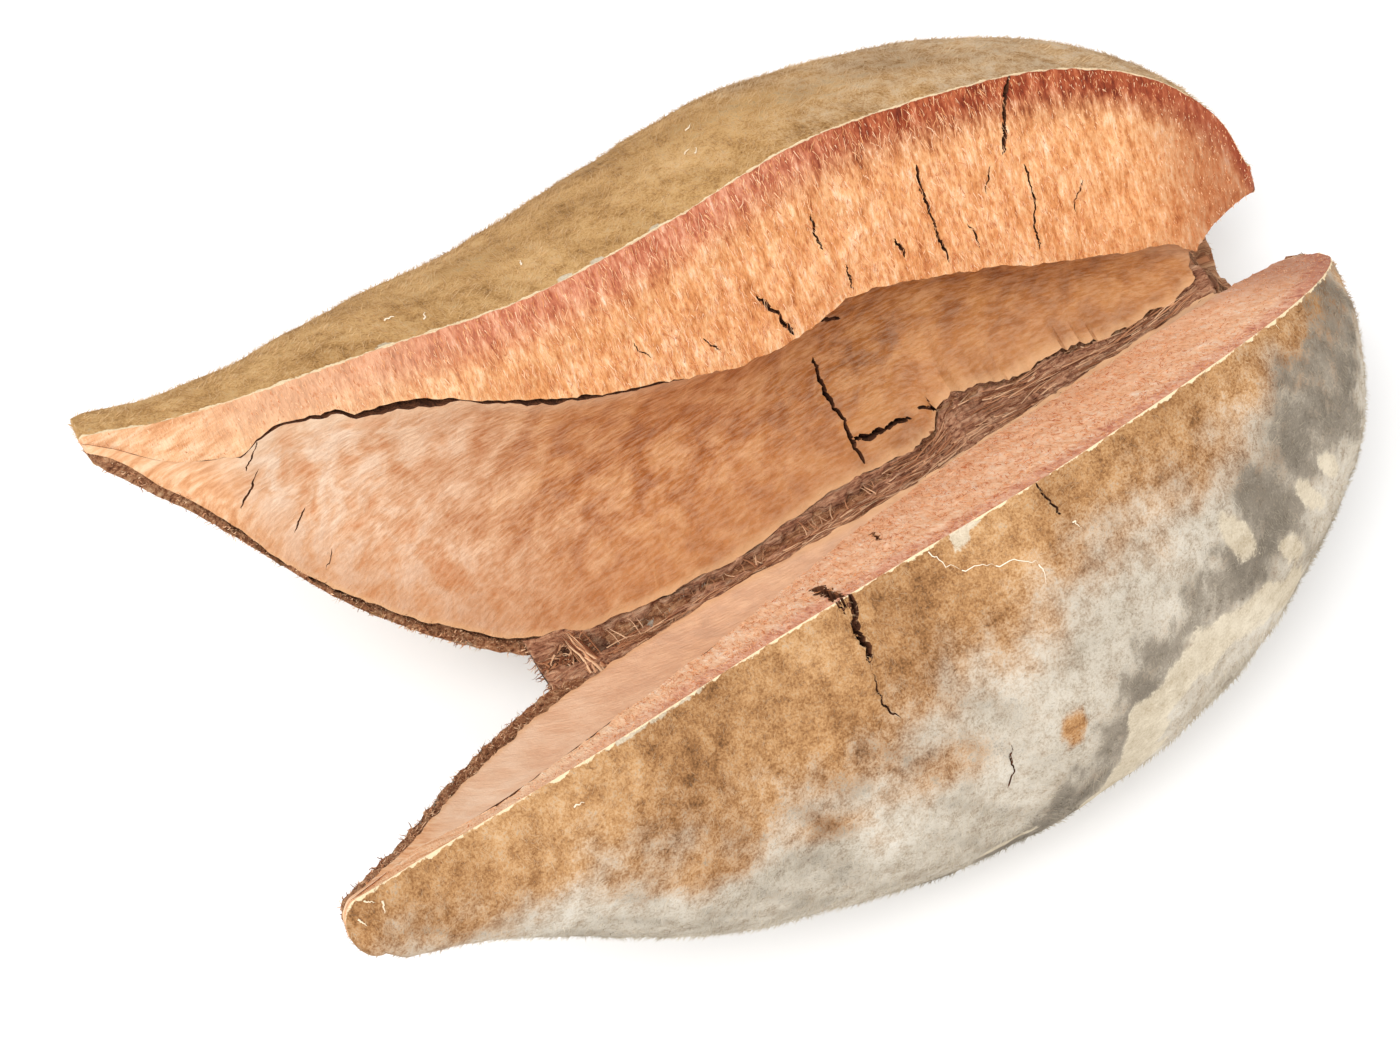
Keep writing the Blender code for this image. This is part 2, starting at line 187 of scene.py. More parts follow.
# Patches on the outside: middle, half sizes, turn in degrees
BARE_PATCHES = (
    ((37.4, 10.6), (1.0, 2.4), -20),
    ((43.9, 11.8), (0.8, 2.0), -35),
    ((46.2, 10.8), (0.7, 1.6), -30),
    ((41.2, 14.2), (0.9, 1.8), -30),
    ((16.4, 24.0), (2.6, 0.7), 0),
    ((27.6, 23.6), (1.6, 1.0), 0),
)
DULL_PATCHES = (((14.0, 13.0), (3.0, 1.6)), ((-3.0, 10.5), (3.5, 1.2)), ((5.5, 12.5), (2.5, 1.0)))
FAR_SOOT = (
    (0.30, (25.5, 8.2), (5.5, 2.6), -20),
    (0.26, (35.5, 5.6), (6.5, 2.2), -10),
    (0.22, (5.0, 7.2), (4.0, 1.6), 10),
)

# Loose thread on the near valve, along and arc
THREAD = ((18.4, 0.3), (19.2, 1.7), (20.6, 2.6), (21.8, 3.0), (23.8, 4.0), (24.3, 4.9), (24.1, 5.6))
# Flecks of wood: along, arc, turn in degrees
FLECKS = {
    FAR: (
        (21.6, 5.7, 40), (22.0, 5.2, 60), (23.2, 8.8, 20), (0.4, 1.8, 50), (-1.5, 3.0, 0),
        (8.0, 4.0, 80),
    ),
    NEAR: ((-21.4, 0.5, 30), (-22.2, 1.3, 70), (-20.8, 1.2, 100), (27.4, 3.5, 60), (-8.0, 2.0, 10)),
}
FLECK_LIFT = 0.16
FLECK_HALF_LENGTH = 0.35
FLECK_RADIUS = 0.06
THREAD_RADIUS = 0.042

# Hairs and fibres: least and greatest length and radius
HAIR_LENGTH = (0.25, 0.62)
HAIR_RADIUS = (0.018, 0.034)
BRISTLE_LENGTH = (0.3, 1.1)
BRISTLE_RADIUS = (0.018, 0.040)
EDGE_LENGTH = (0.12, 0.5)
EDGE_RADIUS = (0.02, 0.055)
FELT_FACTS = ("place", "rim_distance", "pale", "soot", "bare")

CREAM = "ecd6b0"
SENSOR_WIDTH = 36.0
FLOOR_DROP = 0.0001

# Mesh density
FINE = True
RINGS = 240 if FINE else 150
CAP_RINGS = 9
OUT_POINTS = 80 if FINE else 60
STRIP_POINTS = 16 if FINE else 10
LINING_POINTS = 56 if FINE else 40
GAP_POINTS = 6
SPLIT_POINTS = 64 if FINE else 44
WEB_RINGS = 420 if FINE else 160
WEB_ACROSS = 44 if FINE else 24
PIT_SUBDIVISIONS = 5
FELT_HAIRS = 36000 if FINE else 8000
BRISTLES = 9500 if FINE else 3000
EDGE_FIBRES = 5000 if FINE else 2500


# Numbers and noise


def unit(vectors):
    return vectors / np.linalg.norm(vectors, axis=1)[:, None]


def lattice(seed):
    rng = np.random.default_rng(seed)
    slopes = unit(rng.normal(size=(256, 3)))
    order = rng.permutation(256)
    return order, slopes


LATTICES = {}


def noise(points, seed=1):
    """Smooth noise from about -1 to 1 at each point of an (n, 3) array."""
    if seed not in LATTICES:
        LATTICES[seed] = lattice(seed)
    order, slopes = LATTICES[seed]
    points = np.asarray(points, float)
    cell = np.floor(points).astype(int)
    part = points - cell
    fade = part**3 * (part * (part * 6 - 15) + 10)
    total = np.zeros(len(points))
    for corner in np.ndindex(2, 2, 2):
        corner = np.array(corner)
        at = cell + corner
        key = order[(order[(order[at[:, 0] & 255] + at[:, 1]) & 255] + at[:, 2]) & 255]
        weight = np.prod(np.where(corner, fade, 1 - fade), axis=1)
        total += weight * (slopes[key] * (part - corner)).sum(axis=1)
    return total * 1.6


def fractal(points, octaves=4, seed=1, roughness=0.5):
    total, size = 0.0, 1.0
    for octave in range(octaves):
        total = total + size * noise(np.asarray(points) * 2.0**octave, seed + octave)
        size *= roughness
    return total


def line_noise(values, scale, seed):
    """Noise along one number."""
    points = np.zeros((len(values), 3))
    points[:, 0] = np.asarray(values) * scale
    points[:, 1] = 0.37
    return noise(points, seed)


def smooth(low, high, value):
    part = np.clip((value - low) / (high - low), 0.0, 1.0)
    return part * part * (3 - 2 * part)


def between(value, low, full, fading, gone):
    """1 from full to fading, and 0 up to low and from gone on."""
    return smooth(low, full, value) * (1 - smooth(fading, gone, value))


def read_table(table, places):
    """Straight lines through rows of place and value."""
    return np.interp(places, *np.array(table).T)


# Shape of a valve


def blend(table, places):
    """Smooth curve through evenly numbered rows, read at fractional row numbers."""
    rows = np.asarray(table, float)
    last = len(rows) - 1
    at = np.clip(np.asarray(places, float), 0.0, last)
    low = np.minimum(at.astype(int), last - 1)
    part = (at - low)[:, None]
    start, end = rows[low], rows[low + 1]
    first = (low > 0)[:, None]
    final = (low < last - 1)[:, None]
    start_slope = np.where(first, (end - rows[np.maximum(low - 1, 0)]) / 2, end - start)
    end_slope = np.where(final, (rows[np.minimum(low + 2, last)] - start) / 2, end - start)
    cube, square = part**3, part**2
    return (
        (2 * cube - 3 * square + 1) * start
        + (cube - 2 * square + part) * start_slope
        + (3 * square - 2 * cube) * end
        + (cube - square) * end_slope
    )


def station_rows(along):
    rows = np.linspace(0, len(STATIONS) - 1, 1201)
    return np.interp(along, blend(STATIONS, rows)[:, 0], rows)


def bow_at(side, along):
    middle, lean = BOWS[side]
    part = (along - BOW_CENTRE) / BOW_REACH
    return middle * (1 - part**2) + lean * (part - part**3)


def outside(rim, belly, back):
    """Outer wall of one section as rise, depth and arc length, close set by the rim."""
    turn = np.linspace(0, math.pi, 500)
    cosine, sine = np.cos(turn), np.sin(turn)
    power = 2 / SQUARENESS
    rise = (rim + back) / 2 + (rim - back) / 2 * np.sign(cosine) * np.abs(cosine) ** power
    depth = belly * np.clip(sine, 0, 1) ** power
    arc = np.concatenate([[0], np.cumsum(np.hypot(np.diff(rise), np.diff(depth)))])
    total = arc[-1]
    near_rim = np.array((0.0, 0.07, 0.15, 0.25, 0.38, 0.55, 0.78)) * min(1.0, total / 12)
    far_on = np.linspace(near_rim[-1], total, OUT_POINTS - len(near_rim) + 2)[1:]
    marks = np.concatenate([near_rim, far_on])
    return np.interp(marks, arc, rise), np.interp(marks, arc, depth), marks


def edge_depth(dish):
    """Depth of the broken wood right behind the lining's edge."""
    return 0.8 * smooth(0.0, 1.2, dish) + 0.3 * dish


def inside(along, rim, back, lip, edge, dish, gap):
    """Inner wall of one section: torn strip, lining, gap, then the split face up to the rim."""
    fade = float(smooth(0.0, 1.2, dish))
    drop = 0.8 * fade
    strip = edge - back
    wall = 0.9 - 0.35 * float(smooth(10, 24, along))
    corners_rise = (back, back + strip * 0.48, edge - strip * 0.06, edge - strip * 0.02)
    corners_depth = (0.0, drop / 2 + 0.2 * fade, drop + 0.35 * dish, drop + 0.3 * dish)
    part = np.linspace(0, 1, STRIP_POINTS + 1)[1:] ** 0.8
    rises = [np.interp(part, (0, 0.45, 0.9, 1), corners_rise)]
    depths = [np.interp(part, (0, 0.45, 0.9, 1), corners_depth)]
    part = np.linspace(0, 1, LINING_POINTS) ** 0.95
    low, high = edge, lip - gap
    rises.append(low + (high - low) * part)
    flush = 0.05 * (1 - float(smooth(15, 24, along)))
    depths.append(dish * np.sin(math.pi * (0.06 + (0.88 + flush) * part)) ** wall)
    top = depths[-1][-1]
    opened = float(smooth(0.06, 0.3, gap))
    line = LINE_DEPTH * float(smooth(-16, -12, along))
    bottom = top + 0.25 * fade + line + (GAP_DEPTH - LINE_DEPTH) * opened
    down = np.array((0.35, 0.8, 1.0, 0.75, 0.35, 0.08))
    across = np.array((0.06, 0.22, 0.5, 0.78, 0.94, 1.0))
    rises.append(high + gap * across)
    depths.append(np.where(across <= 0.5, top + (bottom - top) * down, bottom * down))
    part = np.linspace(0, 1, SPLIT_POINTS + 1)[:-1]
    part = 1 - (1 - part) ** 1.25
    rises.append(lip + (rim - lip) * part)
    depths.append(np.full(SPLIT_POINTS, 0.02))
    return np.concatenate(rises), np.concatenate(depths)


ZONES = (
    ["felt"] * OUT_POINTS
    + ["torn"] * (STRIP_POINTS + 1)
    + ["lining"] * (LINING_POINTS - 1)
    + ["gap"] * GAP_POINTS
    + ["split"] * (SPLIT_POINTS + 1)
)
SLOTS = ("felt", "torn", "lining", "gap", "split", "crack", "scar")


def valve_grid(side):
    """Sections of one valve: points (rings, profile, 3) with the facts that paint it."""
    along = np.linspace(STATIONS[0][0], STATIONS[-1][0], RINGS)
    _, rim, belly, back = blend(STATIONS, station_rows(along)).T
    lip, edge, dish, gap = courses(side, along)
    columns = len(ZONES)
    rise = np.empty((RINGS, columns))
    depth = np.empty((RINGS, columns))
    arc = np.zeros((RINGS, columns))
    for k in range(RINGS):
        out_rise, out_depth, marks = outside(rim[k], belly[k], back[k])
        in_rise, in_depth = inside(along[k], rim[k], back[k], lip[k], edge[k], dish[k], gap[k])
        rise[k] = np.concatenate([out_rise, in_rise])
        depth[k] = np.concatenate([out_depth, in_depth])
        arc[k, : OUT_POINTS + 1] = marks
        arc[k, OUT_POINTS + 1 :] = in_rise - rim[k]
    points = np.empty((RINGS, columns, 3))
    points[..., 0] = along[:, None]
    points[..., 1] = rise
    points[..., 2] = depth + bow_at(side, along)[:, None]
    under_lip = lip[:, None] - rise
    over_edge = rise - edge[:, None]
    return points, arc, under_lip, over_edge


def courses(side, along):
    """Rise of the lip and of the lining's broken edge, depth of the hollow and width of its gap."""
    lip, edge, dish = blend(HOLLOWS[side], station_rows(along)).T
    dish = np.maximum(dish, 0)
    gap = read_table(GAP_WIDTHS[side], along)
    gap = gap * (1 + 0.35 * line_noise(along, 1.1, 11) + 0.25 * line_noise(along, 3.1, 12))
    if side == FAR:
        lip = lip + (read_table(FAR_LIP, along) - lip) * between(along, -17.5, -15.5, 49.5, 52.0)
        edge = edge + (read_table(FAR_EDGE, along) - edge) * between(along, -20.5, -19.0, 49.0, 52.0)
    calm = between(along, -19, -14, 51, 54)
    lip = lip + calm * (0.16 * line_noise(along, 0.9, 21 + side) + 0.1 * line_noise(along, 2.7, 23))
    ragged = 0.12 + 0.5 * smooth(22, 30, along)
    edge = edge + calm * ragged * (
        line_noise(along, 0.7, 31 + side) + 0.6 * line_noise(along, 2.3, 33 + side)
    )
    return lip, edge, dish, gap


def cap(ring, size, direction):
    """Rings that round off one end, outermost last, and the point that closes it."""
    reach, rise, depth = size
    face = ring[:, 2].min()
    centre = np.array((ring[0, 0], rise, face + depth))
    rings = []
    for step in range(1, CAP_RINGS + 1):
        turn = math.pi / 2 * step / (CAP_RINGS + 1)
        out = np.array((direction * reach * math.sin(turn), 0, 0))
        rings.append(centre + (ring - centre) * math.cos(turn) + out)
    return rings, centre + np.array((direction * reach, 0, 0))


def opened(points, side):
    """From a valve's own frame to the fruit's: along, across and up, before it settles."""
    along, rise, depth = np.moveaxis(np.asarray(points, float), -1, 0)
    across = side * (rise * math.sin(HALF_GAPE) + depth * math.cos(HALF_GAPE))
    up = rise * math.cos(HALF_GAPE) - depth * math.sin(HALF_GAPE)
    return np.stack([along, across, up], -1)


def settled(points):
    """From the fruit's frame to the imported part's, still in millimetres."""
    turn = Matrix.Rotation(LEAN, 3, "X") @ Matrix.Rotation(PITCH, 3, "Y")
    return np.asarray(points, float) @ np.array(turn).T + SHIFT


def stand(points, side):
    return settled(opened(points, side))


def ring_faces(rings, columns):
    """Vertex numbers of a stack of closed rings, and the faces between them."""
    number = np.arange(rings * columns).reshape(rings, columns)
    here, there = number[:-1], number[1:]
    corners = (here, there, np.roll(there, -1, axis=1), np.roll(here, -1, axis=1))
    return number, np.stack(corners, -1).reshape(-1, 4)


def mesh_object(name, points, faces, materials, face_slots=None, **facts):
    """Mesh object from points in millimetres, with one point attribute per fact."""
    data = bpy.data.meshes.new(name)
    data.from_pydata(np.asarray(points) * MM, [], faces)
    for material in materials:
        data.materials.append(material)
    if face_slots is not None:
        data.polygons.foreach_set("material_index", np.asarray(face_slots, np.int32))
    for fact, values in facts.items():
        add_fact(data, fact, values)
    data.update()
    thing = bpy.data.objects.new(name, data)
    bpy.context.collection.objects.link(thing)
    return thing


def add_fact(data, name, values):
    values = np.asarray(values, np.float32)
    if values.ndim == 2:
        data.attributes.new(name, "FLOAT_VECTOR", "POINT").data.foreach_set("vector", values.ravel())
    else:
        data.attributes.new(name, "FLOAT", "POINT").data.foreach_set("value", values)


def read_values(collection, name, width=1, kind=np.float32):
    """One property of every item, as (count,) or (count, width) numbers."""
    values = np.empty(len(collection) * width, kind)
    collection.foreach_get(name, values)
    return values if width == 1 else values.reshape(-1, width)


def read_fact(data, name):
    attribute = data.attributes[name]
    if attribute.data_type == "FLOAT_VECTOR":
        return read_values(attribute.data, "vector", 3)
    return read_values(attribute.data, "value")


def all_facts(data):
    return {
        fact.name: read_fact(data, fact.name)
        for fact in data.attributes
        if fact.domain == "POINT"
        and fact.data_type in ("FLOAT", "FLOAT_VECTOR")
        and fact.name != "position"
    }


def corner_points(data):
    return read_values(data.vertices, "co", 3).astype(float)


def corner_normals(data):
    return read_values(data.vertex_normals, "vector", 3).astype(float)


# Painting facts


def patch(along, arc, middle, size, turn_deg=0.0, soft=0.5):
    """Oval patch on the outside, 1 inside and 0 outside, in along and arc millimetres."""
    turn = math.radians(turn_deg)
    first, second = along - middle[0], arc - middle[1]
    one = (first * math.cos(turn) + second * math.sin(turn)) / size[0]
    two = (second * math.cos(turn) - first * math.sin(turn)) / size[1]
    return 1 - smooth(1 - soft, 1 + soft, np.hypot(one, two))


def off_course(along, arc, course):
    """Distance from each point to a broken line, all in along and arc millimetres."""
    course = np.array(course, float)
    least = np.full(len(along), 1e9)
    for start, end in zip(course[:-1], course[1:]):
        step = end - start
        part = ((along - start[0]) * step[0] + (arc - start[1]) * step[1]) / (step**2).sum()
        part = np.clip(part, 0, 1)
        least = np.minimum(
            least, np.hypot(along - start[0] - part * step[0], arc - start[1] - part * step[1])
        )
    return least


def paint(side, place, arc):
    """Weathering of the outside: pale, sooty and bare shares at each point."""
    along = place[:, 0]
    soft = fractal(place / 7.0, 3, 41)
    fine = fractal(place / 2.2, 3, 47)
    out = np.maximum(arc, 0)
    bare = np.zeros(len(out))
    if side == NEAR:
        border = read_table(PALE_BORDER, along)
        pale = smooth(-4.5, 6.0, out - border + 2.6 * soft + 1.6 * fine)
        for middle, size in DULL_PATCHES:
            pale *= 1 - 0.6 * patch(along, out, middle, size, 20, 0.7)
        square = patch(along, out + 0.3 * fine, (22.3, 15.7), (0.95, 1.15), 10, 0.25)
        pale *= 1 - 0.95 * square
        streaks = fractal(np.stack([(along + out) / 9.0, (along - out) / 2.0, 0 * out], -1), 3, 53)
        band = off_course(along, out, SOOT_BAND)
        width = 2.2 + 1.3 * line_noise(along, 0.12, 54)
        soot = smooth(1.1, -0.5, (band - width) / 1.6 - 0.9 * streaks - 0.5 * fine)
        soot *= 0.6 + 0.4 * smooth(-0.4, 0.3, streaks + 0.4 * fine)
        lower = smooth(7.5, 10.5, out) * between(along, -16, -8, 16, 24)
        tip = smooth(-12, -20, along) * smooth(2.2, 4.0, out)
        under = smooth(28, 36, out)
        right = smooth(38, 46, along) * smooth(3.0, 6.0, out)
        for share, where, low, high, pattern in (
            (0.40, lower, -0.05, 0.35, streaks + 0.3 * soft),
            (0.36, tip, -0.2, 0.3, streaks),
            (0.5, under, 0.0, 0.5, streaks),
            (0.75, right, 0.0, 0.4, streaks + 0.4 * soft),
        ):
            soot = np.maximum(soot, share * where * smooth(low, high, pattern))
        bare = smooth(1.0, -0.3, (off_course(along, out, CREAM_BAND) - 1.5) / 1.1 - 0.8 * fine)
        for middle, size, turn in BARE_PATCHES:
            bare = np.maximum(bare, patch(along, out + 0.5 * fine, middle, size, turn, 0.5))
        ragged = 0.35 * fine + 0.5 * line_noise(along, 2.3, 57)
        flakes = (1 - smooth(0.15, 0.5, out + 0.3 * ragged)) * between(along, -6.2, -5.2, 1.6, 2.6)
        flakes *= smooth(-0.25, 0.1, ragged)
        bare = np.maximum(bare, flakes)
        bare = np.maximum(bare, patch(along, out, (20.6, 0.5), (0.65, 0.75), 0, 0.3))
        bare = np.maximum(bare, patch(along, out, (21.5, 0.1), (0.9, 0.3), 0, 0.3))
    else:
        pale = 0.55 * smooth(24.0, 40.0, out + 4.0 * soft)
        pale = np.maximum(pale, 0.42 * smooth(22.0, 38.0, along + 5.0 * soft))
        soot = np.zeros(len(out))
        for share, middle, size, turn in FAR_SOOT:
            soot += share * patch(along, out + 1.5 * soft, middle, size, turn, 0.8)
        for middle in ((9.5, 0.15), (16.3, 0.1), (11.8, 0.1), (-3.0, 0.1)):
            bare = np.maximum(bare, patch(along, out, middle, (0.55, 0.4), 0, 0.3))
    return pale, soot, bare


# Valves


def build_valve(name, side, materials):
    points, arc, under_lip, over_edge = valve_grid(side)
    tip_rings, tip = cap(points[0], TIP_CAPS[side], -1)
    base_rings, base = cap(points[-1], BASE_CAP, 1)
    grid = np.concatenate([np.array(tip_rings[::-1]), points, np.array(base_rings)])

    rings, columns = grid.shape[:2]
    place = np.concatenate([grid.reshape(-1, 3), [tip, base]])
    number, quads = ring_faces(rings, columns)
    slots = np.tile([SLOTS.index(zone) for zone in ZONES], rings + 1)
    tip_number, base_number = rings * columns, rings * columns + 1
    pairs = [(k, (k + 1) % columns) for k in range(columns)]
    tip_fan = [(tip_number, number[0, one], number[0, two]) for one, two in pairs]
    base_fan = [(base_number, number[-1, two], number[-1, one]) for one, two in pairs]
    faces = quads.tolist() + tip_fan + base_fan
    if side == NEAR:
        faces = [tuple(face[::-1]) for face in faces]

    def spread(values):
        """One value a vertex: the caps repeat the end sections, and their end points have 0."""
        first = np.tile(values[0], CAP_RINGS)
        final = np.tile(values[-1], CAP_RINGS)
        return np.concatenate([first, values.ravel(), final, [0.0, 0.0]])

    rim_distance, lip_distance, edge_distance = map(spread, (arc, under_lip, over_edge))
    zone_here = np.array(ZONES)
    shares = {}
    for zone in ("felt", "torn", "lining", "split"):
        share = (zone_here == zone).astype(float)
        share = (share + np.roll(share, 1)) / 2
        shares[zone] = np.append(np.tile(share, rings), (0.0, 0.0))
    world = stand(place, side)
    thing = mesh_object(name, world, faces, materials, slots)
    data = thing.data
    normals = corner_normals(data)
    lift = relief(place, rim_distance, lip_distance, shares)
    world = world + normals * lift[:, None]
    world[:, 2] = np.maximum(world[:, 2], 0.0)
    data.vertices.foreach_set("co", (world * MM).astype(np.float32).ravel())
    pale, soot, bare = paint(side, place, rim_distance)
    facts = {
        "place": place + (0, 0, PATTERN_SHIFT[side]),
        "rim_distance": rim_distance,
        "lip_distance": lip_distance,
        "edge_distance": edge_distance,
        "pale": pale,
        "soot": soot,
        "bare": bare,
    }
    for fact, values in facts.items():
        add_fact(data, fact, values)
    data.update()
    data.shade_smooth()
    return thing


def relief(place, rim_distance, lip_distance, shares):
    """How far each point is lifted out of the smooth shape, in millimetres."""
    out = np.maximum(rim_distance, 0)
    felt = 0.16 * fractal(place / 5.5, 3, 61) + 0.035 * fractal(place / 0.9, 2, 65)
    lift = shares["felt"] * felt * smooth(0.2, 2.0, out)
    across = -rim_distance
    stretched = np.stack([place[:, 0], across * 0.2, place[:, 2] * 0.3], -1)
    split = 0.09 * noise(stretched * 1.7, 71) + 0.05 * noise(stretched * 3.9, 72)
    split += 0.14 * fractal(place / 3.4, 3, 73)
    lift += shares["split"] * split * smooth(0.0, 0.9, across)
    lining = 0.07 * fractal(place / 4.5, 3, 81)
    lift += shares["lining"] * lining * smooth(0.0, 1.0, lip_distance)
    torn = 0.32 * fractal(place * (0.5, 1.1, 1.1), 3, 91) - 0.05
    lift += shares["torn"] * torn
    return lift


# Cracks


def own_place(valve, side):
    """Each vertex in the valve's own frame: along, rise and depth."""
    return read_fact(valve.data, "place") - (0, 0, PATTERN_SHIFT[side])


def tree_of(points, numbers):
    tree = KDTree(len(points))
    for point, number in zip(points, numbers):
        tree.insert(point, int(number))
    tree.balance()
    return tree


def surface_reader(valve, side, kind):
    """A function from along and rise (or arc) to points and normals on the valve."""
    place = own_place(valve, side)
    arc = read_fact(valve.data, "rim_distance")
    chosen = np.flatnonzero(arc >= 0 if kind == "out" else arc <= 0)
    second = arc if kind == "out" else place[:, 1]
    tree = tree_of([(place[index, 0], second[index], 0.0) for index in chosen], chosen)
    points = corner_points(valve.data) / MM
    normals = corner_normals(valve.data)

    def read(marks):
        places, aims = [], []
        for mark in marks:
            found = tree.find_n((mark[0], mark[1], 0.0), 4)
            weights = np.array([1 / (distance + 0.02) for _, _, distance in found])
            weights /= weights.sum()
            index = [number for _, number, _ in found]
            places.append(weights @ points[index])
            aims.append(weights @ normals[index])
        return np.array(places), unit(np.array(aims))

    return read


def crack_rings(read, width, depth, marks, seed):
    """V-shaped cutter rings along a jagged line: two corners above the surface, one below."""
    marks = np.array(marks, float)
    run = np.concatenate([[0], np.cumsum(np.hypot(*np.diff(marks, axis=0).T))])
    steps = max(6, int(run[-1] / CRACK_STEP))
    at = np.linspace(0, run[-1], steps)
    line = np.stack([np.interp(at, run, marks[:, 0]), np.interp(at, run, marks[:, 1])], 1)
    way = unit(np.gradient(line, axis=0))
    jag = 0.17 * line_noise(at + 37 * seed, 1.1, 121) + 0.07 * line_noise(at + 37 * seed, 3.3, 122)
    ends = np.clip(np.minimum(at, run[-1] - at) / 0.5, 0, 1) ** 0.7
    line += np.stack([-way[:, 1], way[:, 0]], 1) * (jag * (0.5 + width))[:, None] * 1.6
    points, normals = read(line)
    tangent = unit(np.gradient(points, axis=0))
    beside = unit(np.cross(normals, tangent))
    size = width * (0.15 + 0.85 * ends)
    uneven = 0.85 + 0.45 * line_noise(at + 11 * seed, 1.1, 123) + 0.3 * line_noise(at, 2.9, 124)
    size *= np.clip(uneven, 0.3, 1.5)
    down = depth * (0.25 + 0.75 * ends)
    spread = beside * (size / 2 * (1 + CUTTER_ABOVE / down))[:, None]
    above = points + normals * CUTTER_ABOVE
    return above + spread, above - spread, points - normals * down[:, None]


def cut_cracks(valve, side):
    """Cuts the cracks and the pit at the stalk end out of one valve."""
    readers = {kind: surface_reader(valve, side, kind) for kind in ("in", "out")}
    points, faces = [], []
    start = 0
    for seed, (where, kind, width, depth, marks) in enumerate(CRACKS):
        if where != side:
            continue
        rings = np.stack(crack_rings(readers[kind], width, depth, marks, seed), 1)
        count = len(rings)
        points.append(rings.reshape(-1, 3))
        for k in range(count - 1):
            for one, two in ((0, 1), (1, 2), (2, 0)):
                low, high = start + 3 * k, start + 3 * k + 3
                faces.append((low + one, low + two, high + two, high + one))
        faces.append((start + 2, start + 1, start))
        last = start + 3 * count - 3
        faces.append((last, last + 1, last + 2))
        start += 3 * count
    slots = [SLOTS.index("crack")] * len(faces)
    ball = bmesh.new()
    bmesh.ops.create_icosphere(ball, subdivisions=PIT_SUBDIVISIONS, radius=1.0)
    shape = np.array([vertex.co for vertex in ball.verts])
    for face in ball.faces:
        faces.append(tuple(start + vertex.index for vertex in face.verts))
        slots.append(SLOTS.index("scar"))
    ball.free()
    rough = 1 + 0.05 * fractal(shape * 3.0, 3, 131) + 0.03 * fractal(shape * 9.0, 2, 132)
    pit = np.array(PIT_CENTRE) + shape * PIT_SIZE * rough[:, None]
    points.append(settled(pit))
    cutter = mesh_object("cutter", np.concatenate(points), faces, valve.data.materials, slots)
    tidy_normals(cutter)

    places = corner_points(valve.data)
    old = tree_of(places, range(len(places)))
    facts = all_facts(valve.data)
    cut = valve.modifiers.new("cut", "BOOLEAN")
    cut.operation = "DIFFERENCE"
    cut.solver = "MANIFOLD"
    cut.object = cutter
    graph = bpy.context.evaluated_depsgraph_get()
    result = bpy.data.meshes.new_from_object(valve.evaluated_get(graph))
    valve.modifiers.remove(cut)
    valve.data = result
    bpy.data.objects.remove(cutter, do_unlink=True)
    nearest = np.array([old.find(point)[1] for point in corner_points(result)])
    for name, values in facts.items():
        if name in result.attributes:
            result.attributes.remove(result.attributes[name])
        add_fact(result, name, values[nearest])
    result.shade_smooth()
    result.set_sharp_from_angle(angle=SHARP_ANGLE)


def build_litter(name, valve, side, material):
    """Pale flecks of wood on the felt and, on the near valve, one loose thread."""
    read = surface_reader(valve, side, "out")
    lines, radii = [], []
    steps = 14
    for along, arc, degrees in FLECKS[side]:
        turn = math.radians(degrees)
        part = np.linspace(-FLECK_HALF_LENGTH, FLECK_HALF_LENGTH, steps)
        across = np.maximum(arc + part * math.sin(turn), 0.05)
        points, normals = read(np.stack([along + part * math.cos(turn), across], 1))
        lines.append(points + normals * FLECK_LIFT)
        radii.append(FLECK_RADIUS)
    if side == NEAR:
        at = np.linspace(0, len(THREAD) - 1, 4 * steps)
        points, normals = read(blend(THREAD, at))
        lift = 0.14 + 0.08 * np.sin(at * 2.2)
        points = points + normals * lift[:, None]
        for k in range(4):
            some = points[max(0, k * steps - 1) : (k + 1) * steps]
            numbers = np.arange(len(some))
            evenly = np.linspace(0, numbers[-1], steps)
            lines.append(np.stack([np.interp(evenly, numbers, column) for column in some.T], 1))
            radii.append(THREAD_RADIUS)
    tones = np.linspace(0.3, 0.9, len(lines))
    return strands(name, lines, radii, material, sides=4, tone=tones)


# Hinge


def wall_across(side, along, up):
    """Where a valve's split plane lies across, at this height."""
    shift = bow_at(side, along)
    rise = (up + shift * math.sin(HALF_GAPE)) / math.cos(HALF_GAPE)
    return side * (rise * math.sin(HALF_GAPE) + shift * math.cos(HALF_GAPE)), rise


def web_sides(along):
    """Where the web's top meets each valve, across and up, and where its floor may lie."""
    table = np.array(WEB)
    number = np.interp(along, table[:, 0], np.arange(len(table)))
    _, top, thick = blend(WEB, number).T
    _, _, _, back = blend(STATIONS, station_rows(along)).T
    sides, backs = {}, {}
    on_edge = smooth(-1.5, 5.0, along)
    for side in (NEAR, FAR):
        across, rise = wall_across(side, along, top)
        shift = bow_at(side, along)
        kept = side * (back * math.sin(HALF_GAPE) + shift * math.cos(HALF_GAPE))
        plain = np.stack([np.where(rise < back, kept, across), top], 1)
        _, edge, dish, _ = courses(side, along)
        at_edge = np.stack([along, edge - 0.12, shift + edge_depth(dish) + 0.1], -1)
        broken = opened(at_edge, side)[:, 1:]
        sides[side] = plain + (broken - plain) * on_edge[:, None]
        backs[side] = opened(np.stack([along, back, shift], -1), side)
    overlap = np.maximum((backs[NEAR][:, 1] - backs[FAR][:, 1]) / (2 * math.cos(HALF_GAPE)), 0)
    crease = (backs[NEAR][:, 2] + backs[FAR][:, 2]) / 2 - overlap * math.sin(HALF_GAPE)
    lowest = np.minimum(sides[NEAR][:, 1], sides[FAR][:, 1])
    floor = np.minimum(lowest - 1.0, np.maximum(crease - 0.6, top - thick))
    centre = (backs[NEAR][:, 1] + backs[FAR][:, 1]) / 2
    return sides, floor, centre


